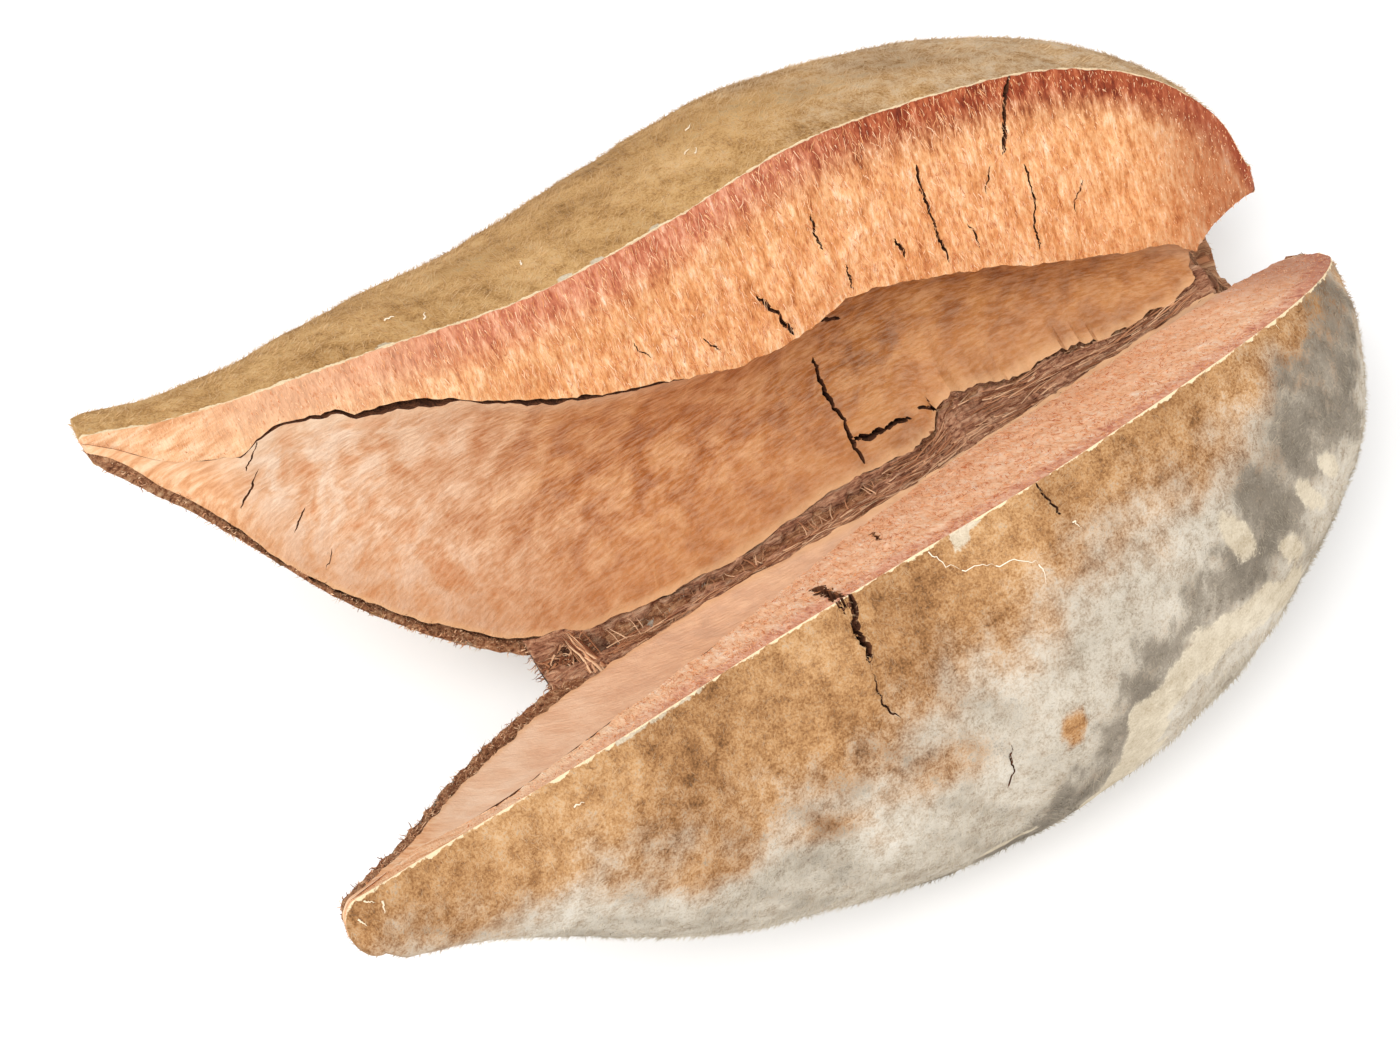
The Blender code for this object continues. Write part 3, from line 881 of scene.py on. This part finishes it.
def build_web(name, material):
    """Torn web: its striped top, the slot beside the far lining, and a smooth floor; the slot and the
    floor get painted shade by their depth.
    """
    along = np.linspace(WEB[0][0], WEB[-1][0], WEB_RINGS)
    sides, floor, centre = web_sides(along)
    left = sides[NEAR][:, 0] - WEB_SINK
    right = sides[FAR][:, 0] + WEB_SINK
    calm = np.clip(np.minimum((along - along[0]) / 2, (along[-1] - along) / 2), 0, 1)
    part = np.linspace(0, 1, WEB_ACROSS)
    across = left[:, None] + (right - left)[:, None] * part
    span = (sides[FAR][:, 0] - sides[NEAR][:, 0])[:, None]
    share = (across - sides[NEAR][:, :1]) / np.maximum(span, 0.2)
    top = sides[NEAR][:, 1:] + (sides[FAR][:, 1] - sides[NEAR][:, 1])[:, None] * np.clip(share, 0, 1)
    grid_along = np.repeat(along[:, None], WEB_ACROSS, axis=1)
    key = np.stack([grid_along * 0.16, across * 1.1 + 0.12 * grid_along, 0 * across], -1).reshape(-1, 3)
    stripes = fractal(key * (1.0, 1.6, 1.0), 4, 101, 0.6).reshape(across.shape)
    clump = fractal(key * (3.0, 0.6, 1), 3, 107).reshape(across.shape)
    swell = np.sin(math.pi * part)[None, :] ** 0.6
    height = top + (0.38 * stripes + 0.30 * clump) * swell * calm[:, None]
    hinge = smooth(22, 32, along)
    middle = 0.60 + 0.30 * hinge + 0.07 * line_noise(along, 0.35, 113)
    middle += 0.05 * line_noise(along, 1.3, 114)
    holes = 0.75 + 0.6 * line_noise(along, 0.45, 111) + 0.35 * line_noise(along, 1.7, 112)
    half = (0.16 - 0.09 * hinge) * np.clip(holes, 0.25, 1.3)
    half += 0.13 * (1 - smooth(1.0, 6.0, along))
    inside_slot = 1 - smooth(0.55, 1.15, np.abs(share - middle[:, None]) / half[:, None])
    slot = between(along, -3.0, -1.0, 49.5, 50.5)
    deep = (2.4 - 0.9 * hinge) * slot * (0.6 + 0.4 * np.clip(holes, 0, 1))
    height -= deep[:, None] * inside_slot
    height = np.maximum(height, floor[:, None] + 0.35)
    quarter = (right - left) / 4
    centre = np.clip(centre, left + 1.4 * quarter, right - 1.4 * quarter)
    under_across = np.stack([centre + quarter, centre, centre - quarter], 1)
    under_up = np.stack([floor + 0.25, floor, floor + 0.25], 1)
    ring_across = np.concatenate([across, under_across], 1)
    ring_up = np.concatenate([height, under_up], 1)
    columns = ring_across.shape[1]
    grid = np.stack([np.repeat(along[:, None], columns, axis=1), ring_across, ring_up], -1)
    number, quads = ring_faces(WEB_RINGS, columns)
    faces = quads[:, (0, 3, 2, 1)].tolist() + [tuple(number[0][::-1]), tuple(number[-1])]
    place = grid.reshape(-1, 3)
    # Depth below the web's top, and 3 on the floor underneath: it sets the painted shade of the slot
    # and of the web's underside
    sunk = np.concatenate([top - height, np.full((WEB_RINGS, 3), 3.0)], 1).reshape(-1)
    thing = mesh_object(name, settled(place), faces, [material], place=place, sunk=sunk)
    tidy_normals(thing)
    return thing


def tidy_normals(thing):
    mesh = bmesh.new()
    mesh.from_mesh(thing.data)
    bmesh.ops.recalc_face_normals(mesh, faces=mesh.faces)
    mesh.to_mesh(thing.data)
    mesh.free()
    thing.data.shade_smooth()


def strands(name, lines, radii, material, sides=3, **facts):
    """Thin closed tubes that taper to a point at their end, all in one mesh.

    lines is (count, steps, 3) in the part's frame; each fact has one row per line.
    """
    lines = np.asarray(lines, float)
    count, steps = lines.shape[:2]
    tangent = np.gradient(lines, axis=1)
    tangent /= np.linalg.norm(tangent, axis=2)[..., None] + 1e-9
    helper = np.where(np.abs(tangent[..., 2:3]) < 0.9, (0.0, 0.0, 1.0), (1.0, 0.0, 0.0))
    one = np.cross(tangent, helper)
    one /= np.linalg.norm(one, axis=2)[..., None] + 1e-9
    two = np.cross(tangent, one)
    taper = (1 - np.linspace(0, 1, steps)) ** 0.6
    taper = np.maximum(taper, 0.02)
    points = []
    for side in range(sides):
        turn = 2 * math.pi * side / sides
        round_it = math.cos(turn) * one + math.sin(turn) * two
        points.append(lines + round_it * (np.asarray(radii)[:, None] * taper)[..., None])
    rings = np.stack(points, 2)[:, :-1]
    body = rings.reshape(count, -1, 3)
    points = np.concatenate([body, lines[:, -1:]], 1)
    per = points.shape[1]
    faces = [tuple(range(sides))[::-1]]
    for step in range(steps - 2):
        for side in range(sides):
            after = (side + 1) % sides
            low, high = step * sides, (step + 1) * sides
            faces.append((low + side, low + after, high + after, high + side))
    low = (steps - 2) * sides
    for side in range(sides):
        faces.append((low + side, low + (side + 1) % sides, per - 1))
    all_faces = []
    starts = np.arange(count) * per
    for face in faces:
        all_faces.extend((starts[:, None] + np.array(face)).tolist())
    level = np.concatenate([np.repeat(np.arange(steps - 1), sides), [steps - 1]]) / (steps - 1)
    spread = {fact: np.repeat(np.asarray(values), per, axis=0) for fact, values in facts.items()}
    return mesh_object(
        name, points.reshape(-1, 3), all_faces, [material], tip=np.tile(level, count), **spread
    )


def surface_samples(thing, slot, count, rng, keep=None):
    """Random points on the faces of one material slot, with normals and facts."""
    data = thing.data
    data.calc_loop_triangles()
    corners = read_values(data.loop_triangles, "vertices", 3, np.int32)
    polygons = read_values(data.loop_triangles, "polygon_index", 1, np.int32)
    material = read_values(data.polygons, "material_index", 1, np.int32)
    corners = corners[material[polygons] == SLOTS.index(slot)]
    points = corner_points(data) / MM
    normals = corner_normals(data)
    first, second, third = (points[corners[:, k]] for k in range(3))
    area = np.linalg.norm(np.cross(second - first, third - first), axis=1)
    if keep is not None:
        area = area * keep[corners].min(axis=1)
    chosen = rng.choice(len(corners), count, p=area / area.sum())
    share = rng.random((count, 2))
    share[share.sum(1) > 1] = 1 - share[share.sum(1) > 1]
    weights = np.stack([1 - share.sum(1), share[:, 0], share[:, 1]], 1)
    picked = corners[chosen]

    def at(values):
        if values.ndim == 1:
            return (values[picked] * weights).sum(1)
        return (values[picked] * weights[..., None]).sum(1)

    facts = {name: at(values) for name, values in all_facts(data).items()}
    return at(points), unit(at(normals)), facts


def build_felt(name, valve, side, material):
    """Short matted hairs all over the outside."""
    rng = np.random.default_rng(501 + side)
    bare = read_fact(valve.data, "bare")
    arc = read_fact(valve.data, "rim_distance")
    open_to_hair = (1 - smooth(0.35, 0.6, bare)) * smooth(0.1, 0.3, arc)
    root, normal, facts = surface_samples(valve, "felt", FELT_HAIRS, rng, open_to_hair)
    swirl = 3.0 * noise(facts["place"] / 6.0, 511) + 1.2 * noise(facts["place"] / 1.5, 512)
    helper = unit(np.cross(normal, (0.3, 0.5, 0.8)))
    other = np.cross(normal, helper)
    turn = swirl + rng.normal(0, 0.7, len(root))
    lay = helper * np.cos(turn)[:, None] + other * np.sin(turn)[:, None]
    lift = rng.uniform(0.25, 0.9, len(root))[:, None]
    aim = unit(lay + normal * lift)
    length = rng.uniform(*HAIR_LENGTH, len(root))
    end = root + aim * length[:, None]
    start = root - normal * 0.05
    above = end[:, 2] > 0.03
    lines = np.stack([start, end], 1)[above]
    radii = rng.uniform(*HAIR_RADIUS, len(root))[above]
    kept = {fact: values[above] for fact, values in facts.items() if fact in FELT_FACTS}
    kept["tone"] = rng.random(len(root))[above]
    return strands(name, lines, radii, material, **kept)


def build_bristles(name, valve, side, material):
    """Fine split fibres that stand off the split face, lying towards rim or lip."""
    rng = np.random.default_rng(601 + side)
    root, normal, facts = surface_samples(valve, "split", BRISTLES, rng)
    along = facts["place"][:, 0]
    way = stand([(0, 1, 0)], side) - stand([(0, 0, 0)], side)
    way = np.repeat(way, len(root), axis=0)
    cross = np.cross(normal, way)
    sign = np.where(rng.random(len(root)) < 0.5, -1.0, 1.0)[:, None]
    aim = way * sign + cross * rng.normal(0, 0.28, len(root))[:, None]
    aim = unit(aim + normal * rng.uniform(0.02, 0.22, len(root))[:, None])
    length = rng.uniform(*BRISTLE_LENGTH, len(root)) * (0.3 + 0.7 * smooth(-16, 4, along))
    length *= 1 - 0.6 * smooth(38, 50, along)
    across = -facts["rim_distance"]
    up = (aim * way).sum(1) > 0
    length = np.where(up, np.minimum(length, across * 0.8), length)
    length = np.where(up, length, np.minimum(length, -facts["lip_distance"] * 0.8))
    length = np.maximum(length, 0.02)
    bend = rng.normal(0, 0.06, (len(root), 3)) * length[:, None]
    middle = root + aim * (length * 0.55)[:, None] + bend
    lines = np.stack([root - normal * 0.04, middle, root + aim * length[:, None]], 1)
    radii = rng.uniform(*BRISTLE_RADIUS, len(root))
    kept = {fact: facts[fact] for fact in ("place", "rim_distance")}
    kept["tone"] = rng.random(len(root))
    return strands(name, lines, radii, material, **kept)


def wavy(start, end, steps, rng, bend):
    """Lines from start to end with a soft random bend, shaped (count, steps, 3)."""
    part = np.linspace(0, 1, steps)[None, :, None]
    lines = start[:, None] + (end - start)[:, None] * part
    size = np.linalg.norm(end - start, axis=1)[:, None, None]
    swing = rng.normal(0, 1, (len(start), 1, 3)) * np.sin(math.pi * part)
    swing = swing + 0.5 * rng.normal(0, 1, (len(start), 1, 3)) * np.sin(2 * math.pi * part)
    return lines + swing * size * bend


def build_seam_fibres(name, material):
    """Torn fibres of the hinge: across its slot, along its top and out of its end."""
    rng = np.random.default_rng(701)
    lines, radii = [], []

    def on_top(along, share):
        """Point on the web's top, share of the way from the near valve to the far one."""
        sides, _, _ = web_sides(along)
        flat = sides[NEAR] + (sides[FAR] - sides[NEAR]) * np.asarray(share)[:, None]
        return np.stack([along, flat[:, 0], flat[:, 1]], 1)

    def add(start, end, bend, thin, thick):
        lines.append(wavy(start, end, 6, rng, bend))
        radii.append(rng.uniform(thin, thick, len(start)))

    def upward(sizes):
        return np.stack([0 * sizes, 0 * sizes, sizes], 1)

    # Fibres that bridge the slot
    count = 150
    along = np.sort(rng.uniform(-2.0, 30.0, count))
    keep = rng.random(count) < 0.15 + 0.85 * (np.sin(along * 1.3 + 1.0) > 0.55)
    along = along[keep]
    count = len(along)
    start = on_top(along, rng.uniform(0.2, 0.5, count)) - (0, 0, 0.15)
    end = on_top(along + rng.normal(0, 0.9, count), rng.uniform(0.72, 0.95, count)) - (0, 0, 0.2)
    add(start, end, 0.08, 0.025, 0.07)

    # The pale column that still spans the torn end
    count = 26
    along = rng.uniform(0.4, 1.5, count)
    start = on_top(along + rng.uniform(-0.2, 0.8, count), rng.uniform(-0.1, 0.15, count)) + (0, 0, 0.1)
    end = on_top(along - rng.uniform(0.1, 0.6, count), rng.uniform(0.9, 1.1, count)) + (0, 0, 0.2)
    add(start, end, 0.06, 0.05, 0.12)

    # Fibres that lie along the striped top
    count = 700
    along = rng.uniform(2.0, 50.0, count)
    share = rng.uniform(0.0, 1.0, count)
    share = np.where(along < 26, share * 0.42, share * 0.85)
    size = rng.uniform(0.8, 3.6, count)
    start = on_top(along, share) + (0, 0, 0.1)
    later = np.clip(share + rng.normal(0, 0.05, count), 0, 0.9)
    end = on_top(np.minimum(along + size, 51.5), later) + upward(rng.uniform(0, 0.25, count))
    add(start, end, 0.03, 0.02, 0.065)

    # Fibres that trail out of the torn end, towards the tip
    count = 520
    along = rng.uniform(-2.2, 2.0, count)
    start = on_top(along, rng.uniform(-0.15, 1.1, count)) - upward(rng.uniform(0.0, 1.4, count))
    aim = -rng.uniform(0.2, 1.1, count), rng.normal(0, 0.35, count), rng.normal(0.0, 0.3, count)
    add(start, start + np.stack(aim, 1), 0.12, 0.03, 0.1)

    flat = settled(np.concatenate(lines).reshape(-1, 3)).reshape(-1, 6, 3)
    place = np.concatenate(lines)[:, 0]
    tone = rng.random(len(place))
    return strands(name, flat, np.concatenate(radii), material, sides=4, place=place, tone=tone)


def build_edge_fibres(name, valve, side, material):
    """Broken fibres of the torn strip, which stand out past the back edge."""
    rng = np.random.default_rng(801 + side)
    place = read_fact(valve.data, "place")
    ahead = 1 - 0.75 * smooth(0.0, 10.0, place[:, 0])
    root, normal, facts = surface_samples(valve, "torn", EDGE_FIBRES, rng, ahead)
    aim = normal * rng.uniform(0.05, 0.5, len(root))[:, None] + rng.normal(0, 0.55, (len(root), 3))
    aim[:, 0] += rng.uniform(-1.2, 1.2, len(root))
    aim = unit(aim)
    length = rng.uniform(*EDGE_LENGTH, len(root))
    length *= 1 - 0.7 * smooth(-1.2, -0.2, facts["edge_distance"])
    lines = wavy(root - normal * 0.06, root + aim * length[:, None], 4, rng, 0.16)
    lines[..., 2] = np.maximum(lines[..., 2], 0.08)
    radii = rng.uniform(*EDGE_RADIUS, len(root))
    return strands(name, lines, radii, material, place=facts["place"], tone=rng.random(len(root)))


# Materials


def linear(text):
    """Colour written as six hex digits, as the eye reads it, turned into light."""
    values = np.array([int(text[k : k + 2], 16) for k in (0, 2, 4)]) / 255
    low = values / 12.92
    high = ((values + 0.055) / 1.055) ** 2.4
    return tuple(np.where(values <= 0.04045, low, high)) + (1.0,)


class Look:
    """A material under construction; every method returns an output socket."""

    def __init__(self, name, roughness=0.85):
        self.material = bpy.data.materials.new(name)
        self.material.use_nodes = True
        self.tree = self.material.node_tree
        self.shader = self.tree.nodes["Principled BSDF"]
        self.shader.inputs["Roughness"].default_value = roughness
        self.shader.inputs["Specular IOR Level"].default_value = 0.25

    def set(self, socket, value):
        if isinstance(value, bpy.types.NodeSocket):
            self.tree.links.new(value, socket)
        else:
            socket.default_value = linear(value) if isinstance(value, str) else value

    def add(self, kind, output, inputs, **settings):
        """A new node with these settings and inputs, known by the output that is read."""
        made = self.tree.nodes.new("ShaderNode" + kind)
        for setting, value in settings.items():
            setattr(made, setting, value)
        for key, value in inputs.items():
            self.set(made.inputs[key], value)
        return made.outputs[output]

    def fact(self, name, output="Fac"):
        return self.add("Attribute", output, {}, attribute_name=name)

    def math(self, operation, *values):
        return self.add("Math", 0, dict(enumerate(values)), operation=operation)

    def sum(self, *terms):
        """Sum of terms, each an output and the factor that it is multiplied by."""
        parts = [self.math("MULTIPLY", *term) for term in terms]
        total = parts[0]
        for part in parts[1:]:
            total = self.math("ADD", total, part)
        return total

    def swing(self, value, size):
        """A noise output moved to lie around 0, from -size / 2 to size / 2."""
        return self.math("MULTIPLY", self.math("SUBTRACT", value, 0.5), size)

    def along(self, place):
        return self.add("SeparateXYZ", 0, {0: place})

    def stretch(self, vector, scale):
        return self.add("VectorMath", 0, {0: vector, 1: scale}, operation="MULTIPLY")

    def turned(self, vector, degrees, scale):
        turn = (0, 0, math.radians(degrees))
        return self.add("Mapping", 0, {"Vector": vector, "Rotation": turn, "Scale": scale})

    def noise(self, vector, scale, detail=4.0, roughness=0.55, distortion=0.0):
        inputs = {
            "Vector": vector,
            "Scale": scale,
            "Detail": detail,
            "Roughness": roughness,
            "Distortion": distortion,
        }
        return self.add("TexNoise", "Fac", inputs)

    def ramp(self, value, *stops):
        made = self.tree.nodes.new("ShaderNodeValToRGB")
        self.set(made.inputs["Fac"], value)
        elements = made.color_ramp.elements
        while len(elements) < len(stops):
            elements.new(0.5)
        for element, (place, colour) in zip(elements, stops):
            element.position = place
            element.color = linear(colour)
        return made.outputs["Color"]

    def range(self, value, low, high, start=0.0, end=1.0):
        inputs = {
            "Value": value,
            "From Min": low,
            "From Max": high,
            "To Min": start,
            "To Max": end,
        }
        return self.add("MapRange", "Result", inputs, interpolation_type="SMOOTHSTEP")

    def mix(self, share, first, second):
        inputs = {"Factor": share, "A": first, "B": second}
        return self.add("Mix", "Result", inputs, data_type="RGBA")

    def over(self, colour, other, value, low, high, start=0.0, end=1.0):
        """The other colour laid over the first where the value runs from low to high."""
        return self.mix(self.range(value, low, high, start, end), colour, other)

    def bump(self, height, distance, strength=1.0, **before):
        inputs = {"Height": height, "Distance": distance, "Strength": strength, **before}
        return self.add("Bump", "Normal", inputs)

    def finish(self, colour, normal=None):
        self.set(self.shader.inputs["Base Color"], colour)
        if normal is not None:
            self.set(self.shader.inputs["Normal"], normal)
        return self.material


def felt_look(name, side, hair=False):
    look = Look(name, 0.95)
    look.shader.inputs["Specular IOR Level"].default_value = 0.1
    place = look.fact("place", "Vector")
    broad = look.noise(place, 0.16, 3, 0.6)
    middle = look.noise(place, 0.9, 4, 0.65)
    speck = look.noise(place, 6.0, 4, 0.75)
    tone = look.sum((broad, 0.3), (middle, 0.3), (speck, 0.4))
    if side == NEAR:
        warm = look.ramp(tone, (0.36, "5c3e26"), (0.45, "966a42"), (0.54, "c09364"), (0.66, "e2be94"))
    else:
        warm = look.ramp(tone, (0.36, "74522c"), (0.45, "aa804e"), (0.54, "cca26c"), (0.66, "e6c292"))
    pale = look.ramp(tone, (0.34, "847a6c"), (0.45, "aca190"), (0.55, "cac0b0"), (0.68, "e8e1d5"))
    mottle = look.math("ADD", look.swing(speck, 1.3), look.swing(middle, 1.7))
    speckled = look.sum((look.fact("pale"), 1.0), (mottle, 0.55))
    colour = look.over(warm, pale, speckled, 0.05, 1.1)
    if side == NEAR:
        soot = look.ramp(tone, (0.38, "38322a"), (0.6, "928676"))
    else:
        soot = look.ramp(tone, (0.38, "604e30"), (0.6, "967c54"))
    speckled = look.math("ADD", look.math("ADD", look.fact("soot"), mottle), look.swing(speck, 1.6))
    colour = look.over(colour, soot, speckled, 0.15, 1.05, 0.0, 0.9)
    bare = look.ramp(tone, (0.38, "ac9b80"), (0.6, "dccfb8"))
    speckled = look.sum((look.fact("bare"), 1.0), (mottle, 0.7))
    colour = look.over(colour, bare, speckled, 0.4, 0.8, 0.0, 0.9)
    ragged = look.math("ADD", look.fact("rim_distance"), look.swing(middle, 1.1))
    colour = look.over(colour, CREAM, ragged, 0.05, 0.13, 1.0, 0.0)
    if hair:
        tip = look.fact("tip")
        colour = look.mix(look.math("MULTIPLY", tip, 0.35), colour, "ece0c4")
        return look.finish(colour)
    normal = look.bump(speck, 0.00012, 0.7)
    return look.finish(colour, look.bump(middle, 0.0003, 0.6, Normal=normal))


def split_look(name, side):
    look = Look(name, 0.75)
    place = look.fact("place", "Vector")
    grain = look.stretch(place, (1.0, 0.22, 0.3))
    fine = look.noise(grain, 4.2, 4, 0.65)
    coarse = look.noise(grain, 1.3, 3, 0.6)
    broad = look.noise(place, 0.22, 3, 0.6)
    tone = look.sum((fine, 0.55), (coarse, 0.45))
    along = look.along(place)
    if side == FAR:
        inner = look.ramp(tone, (0.33, "ac6636"), (0.45, "dc9a62"), (0.56, "f0c08e"), (0.68, "fce6ca"))
        outer = look.ramp(tone, (0.33, "964832"), (0.47, "c87a5a"), (0.60, "e8aa8a"), (0.70, "f8d8c2"))
        red = look.ramp(tone, (0.33, "5e2014"), (0.47, "944226"), (0.60, "c26e48"), (0.70, "eebea0"))
        outer = look.over(outer, red, along, 18.0, 34.0)
    else:
        inner = look.ramp(tone, (0.33, "da9e72"), (0.45, "f3c49c"), (0.56, "fad8b8"), (0.68, "fef0de"))
        outer = look.ramp(tone, (0.33, "b46854"), (0.47, "dea082"), (0.60, "f0c4a6"), (0.70, "fae2d0"))
    across = look.math("MULTIPLY", look.fact("rim_distance"), -1.0)
    band = look.math("ADD", across, look.swing(tone, 5.0))
    colour = look.over(inner, outer, band, 1.2, 4.8, 1.0, 0.0)
    colour = look.over(colour, look.mix(0.55, colour, "eec89e"), along, -12.0, 6.0, 1.0, 0.0)
    colour = look.over(colour, "964c32", along, 48.0, 55.0, 0.0, 0.6)
    ragged = look.math("ADD", across, look.swing(coarse, 0.5))
    colour = look.over(colour, CREAM, ragged, 0.03, 0.10, 1.0, 0.0)
    colour = look.over(colour, beak(look, place), along, -17.0, -11.0, 0.85, 0.0)
    normal = look.bump(fine, 0.00022, 0.9)
    return look.finish(colour, look.bump(broad, 0.0006, 0.4, Normal=normal))


def beak(look, place):
    """Smooth pale wood that split face and lining share at the tip."""
    grain = look.noise(look.turned(place, 30, (0.3, 1.2, 1.0)), 1.6, 4, 0.6)
    return look.ramp(grain, (0.36, "ce8e5c"), (0.50, "e6b082"), (0.64, "f2cea8"))


def lining_look(name, side):
    look = Look(name, 0.6)
    place = look.fact("place", "Vector")
    grain = look.turned(place, 24, (0.35, 1.6, 1.0))
    fine = look.noise(grain, 2.6, 4, 0.65)
    broad = look.noise(place, 0.16, 4, 0.6)
    blot = look.noise(place, 0.42, 4, 0.6, 0.4)
    along = look.along(place)
    # Pale towards the tip, warm in the middle, brown towards the base: the lining's own tone, and at
    # the deep base end also painted shade of the deeper hollow turned away from the light
    light = look.ramp(blot, (0.36, "d09264"), (0.46, "daac86"), (0.60, "e8ccb2"))
    warm = look.ramp(blot, (0.36, "a05e2a"), (0.50, "c2824a"), (0.64, "dca670"))
    brown_and_shade = look.ramp(blot, (0.36, "8c5628"), (0.50, "b67c42"), (0.64, "d09a5e"))
    shifted = look.sum((along, 1.0), (broad, 14.0))
    colour = look.over(light, warm, shifted, -2.0, 16.0)
    colour = look.over(colour, brown_and_shade, shifted, 26.0, 38.0)
    streak = look.range(fine, 0.35, 0.65)
    colour = look.mix(0.22, colour, look.ramp(streak, (0, "966038"), (1, "fae6cc")))
    if side == NEAR:
        colour = look.mix(0.55, colour, "f6d6b8")
    else:
        colour = look.over(colour, "be8454", look.fact("edge_distance"), 1.0, 8.0, 0.45, 0.0)
    colour = look.over(colour, "f0d4b4", look.fact("lip_distance"), 0.4, 2.2, 0.4, 0.0)
    colour = look.over(colour, "e0b486", look.fact("edge_distance"), 0.0, 0.7, 0.7, 0.0)
    colour = look.over(colour, beak(look, place), along, -17.0, -13.0, 0.85, 0.0)
    normal = look.bump(fine, 0.00010, 0.8)
    return look.finish(colour, look.bump(blot, 0.0005, 0.3, Normal=normal))


def torn_look(name):
    look = Look(name, 0.85)
    place = look.fact("place", "Vector")
    grain = look.stretch(place, (0.5, 1.3, 1.3))
    fine = look.noise(grain, 2.6, 5, 0.7)
    colour = look.ramp(fine, (0.32, "5c3420"), (0.45, "9e6846"), (0.56, "c6926a"), (0.70, "e4bc94"))
    return look.finish(colour, look.bump(fine, 0.0006, 1.0))


def web_look(name):
    look = Look(name, 0.8)
    place = look.fact("place", "Vector")
    grain = look.stretch(place, (0.22, 1.7, 1.7))
    fine = look.noise(grain, 1.9, 5, 0.7, 0.2)
    colour = look.ramp(fine, (0.32, "583022"), (0.44, "a47054"), (0.55, "d09e7c"), (0.68, "e8c09e"))
    # Painted shade: near-black where the web lies deep below its top, in the slot and on its underside
    colour = look.over(colour, "26140d", look.fact("sunk"), 0.5, 1.4)
    return look.finish(colour, look.bump(fine, 0.0005, 1.0))


def fibre_look(name, *colours):
    look = Look(name, 0.8)
    tone = look.fact("tone")
    steps = [(0.08 + 0.84 * k / (len(colours) - 1), colour) for k, colour in enumerate(colours)]
    colour = look.ramp(tone, *steps)
    return look.finish(colour)


# Dark brown for the walls of the cracks and of the gap under the lip: painted shade of these narrow
# recesses
def recess_shade_look(name):
    look = Look(name, 0.9)
    place = look.fact("place", "Vector")
    fine = look.noise(place, 3.0, 4, 0.7)
    colour = look.ramp(fine, (0.35, "422417"), (0.65, "7e4e32"))
    return look.finish(colour, look.bump(fine, 0.0003, 0.8))


# Stage


def build_stage():
    camera_data = bpy.data.cameras.new("camera")
    camera = bpy.data.objects.new("camera", camera_data)
    bpy.context.collection.objects.link(camera)
    camera_data.sensor_fit = "HORIZONTAL"
    camera_data.sensor_width = SENSOR_WIDTH
    camera_data.lens = FOCAL / FRAME_WIDTH * SENSOR_WIDTH
    camera_data.clip_start = 0.01
    camera_data.clip_end = 20.0
    turn = Matrix(EYE_AXES)
    camera.matrix_world = Matrix.Translation(Vector(EYE) * MM) @ turn.to_4x4()
    bpy.context.scene.camera = camera

    mesh = bpy.data.meshes.new("floor")
    half = 3.0
    corners = [(-half, -half, 0), (half, -half, 0), (half, half, 0), (-half, half, 0)]
    mesh.from_pydata(corners, [], [(0, 1, 2, 3)])
    floor = bpy.data.objects.new("floor", mesh)
    floor.location.z = -FLOOR_DROP
    bpy.context.collection.objects.link(floor)
    look = Look("floor", 0.9)
    look.shader.inputs["Base Color"].default_value = (0.93, 0.93, 0.93, 1.0)
    mesh.materials.append(look.material)

    world = bpy.data.worlds.new("studio")
    bpy.context.scene.world = world
    world.use_nodes = True
    background = world.node_tree.nodes["Background"]
    background.inputs["Color"].default_value = (1.0, 1.0, 1.0, 1.0)
    background.inputs["Strength"].default_value = 0.75

    def area(name, place, power, size):
        light = bpy.data.lights.new(name, "AREA")
        light.shape = "DISK"
        light.size = size
        light.energy = power
        thing = bpy.data.objects.new(name, light)
        thing.location = place
        thing.rotation_euler = (-Vector(place)).to_track_quat("-Z", "Y").to_euler()
        bpy.context.collection.objects.link(thing)

    area("key", (-0.35, -0.15, 0.75), 5.0, 0.5)
    area("fill", (0.45, -0.55, 0.5), 2.0, 0.6)
    bpy.context.scene.view_settings.view_transform = "Standard"
    bpy.context.scene.view_settings.look = "None"


def main():
    build_stage()
    pieces = []
    bristle = fibre_look("split_fibre", "c87c4e", "e4a674", "f0be90", "f6d0ac")
    torn_fibre = fibre_look("torn_fibre", "76462e", "a67250", "cc9872", "e8c29c")
    litter = fibre_look("litter", "e2cca8", "faf0dc")
    for side, name in ((FAR, "far"), (NEAR, "near")):
        materials = [
            felt_look(name + "_felt", side),
            torn_look(name + "_torn"),
            lining_look(name + "_lining", side),
            # The gap and the cracks take the painted shade of narrow recesses
            recess_shade_look(name + "_gap"),
            split_look(name + "_split", side),
            recess_shade_look(name + "_crack"),
            torn_look(name + "_scar"),
        ]
        valve = build_valve(name + "_valve", side, materials)
        cut_cracks(valve, side)
        pieces.append(valve)
        hairs = felt_look(name + "_hairs", side, hair=True)
        pieces.append(build_felt(name + "_felt_hairs", valve, side, hairs))
        pieces.append(build_bristles(name + "_bristles", valve, side, bristle))
        pieces.append(build_edge_fibres(name + "_edge_fibres", valve, side, torn_fibre))
        pieces.append(build_litter(name + "_litter", valve, side, litter))
    pieces.append(build_web("hinge_web", web_look("hinge_web")))
    pieces.append(build_seam_fibres("hinge_fibres", torn_fibre))
    for piece in pieces:
        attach(piece, "root")
        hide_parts("woody_pear")


main()
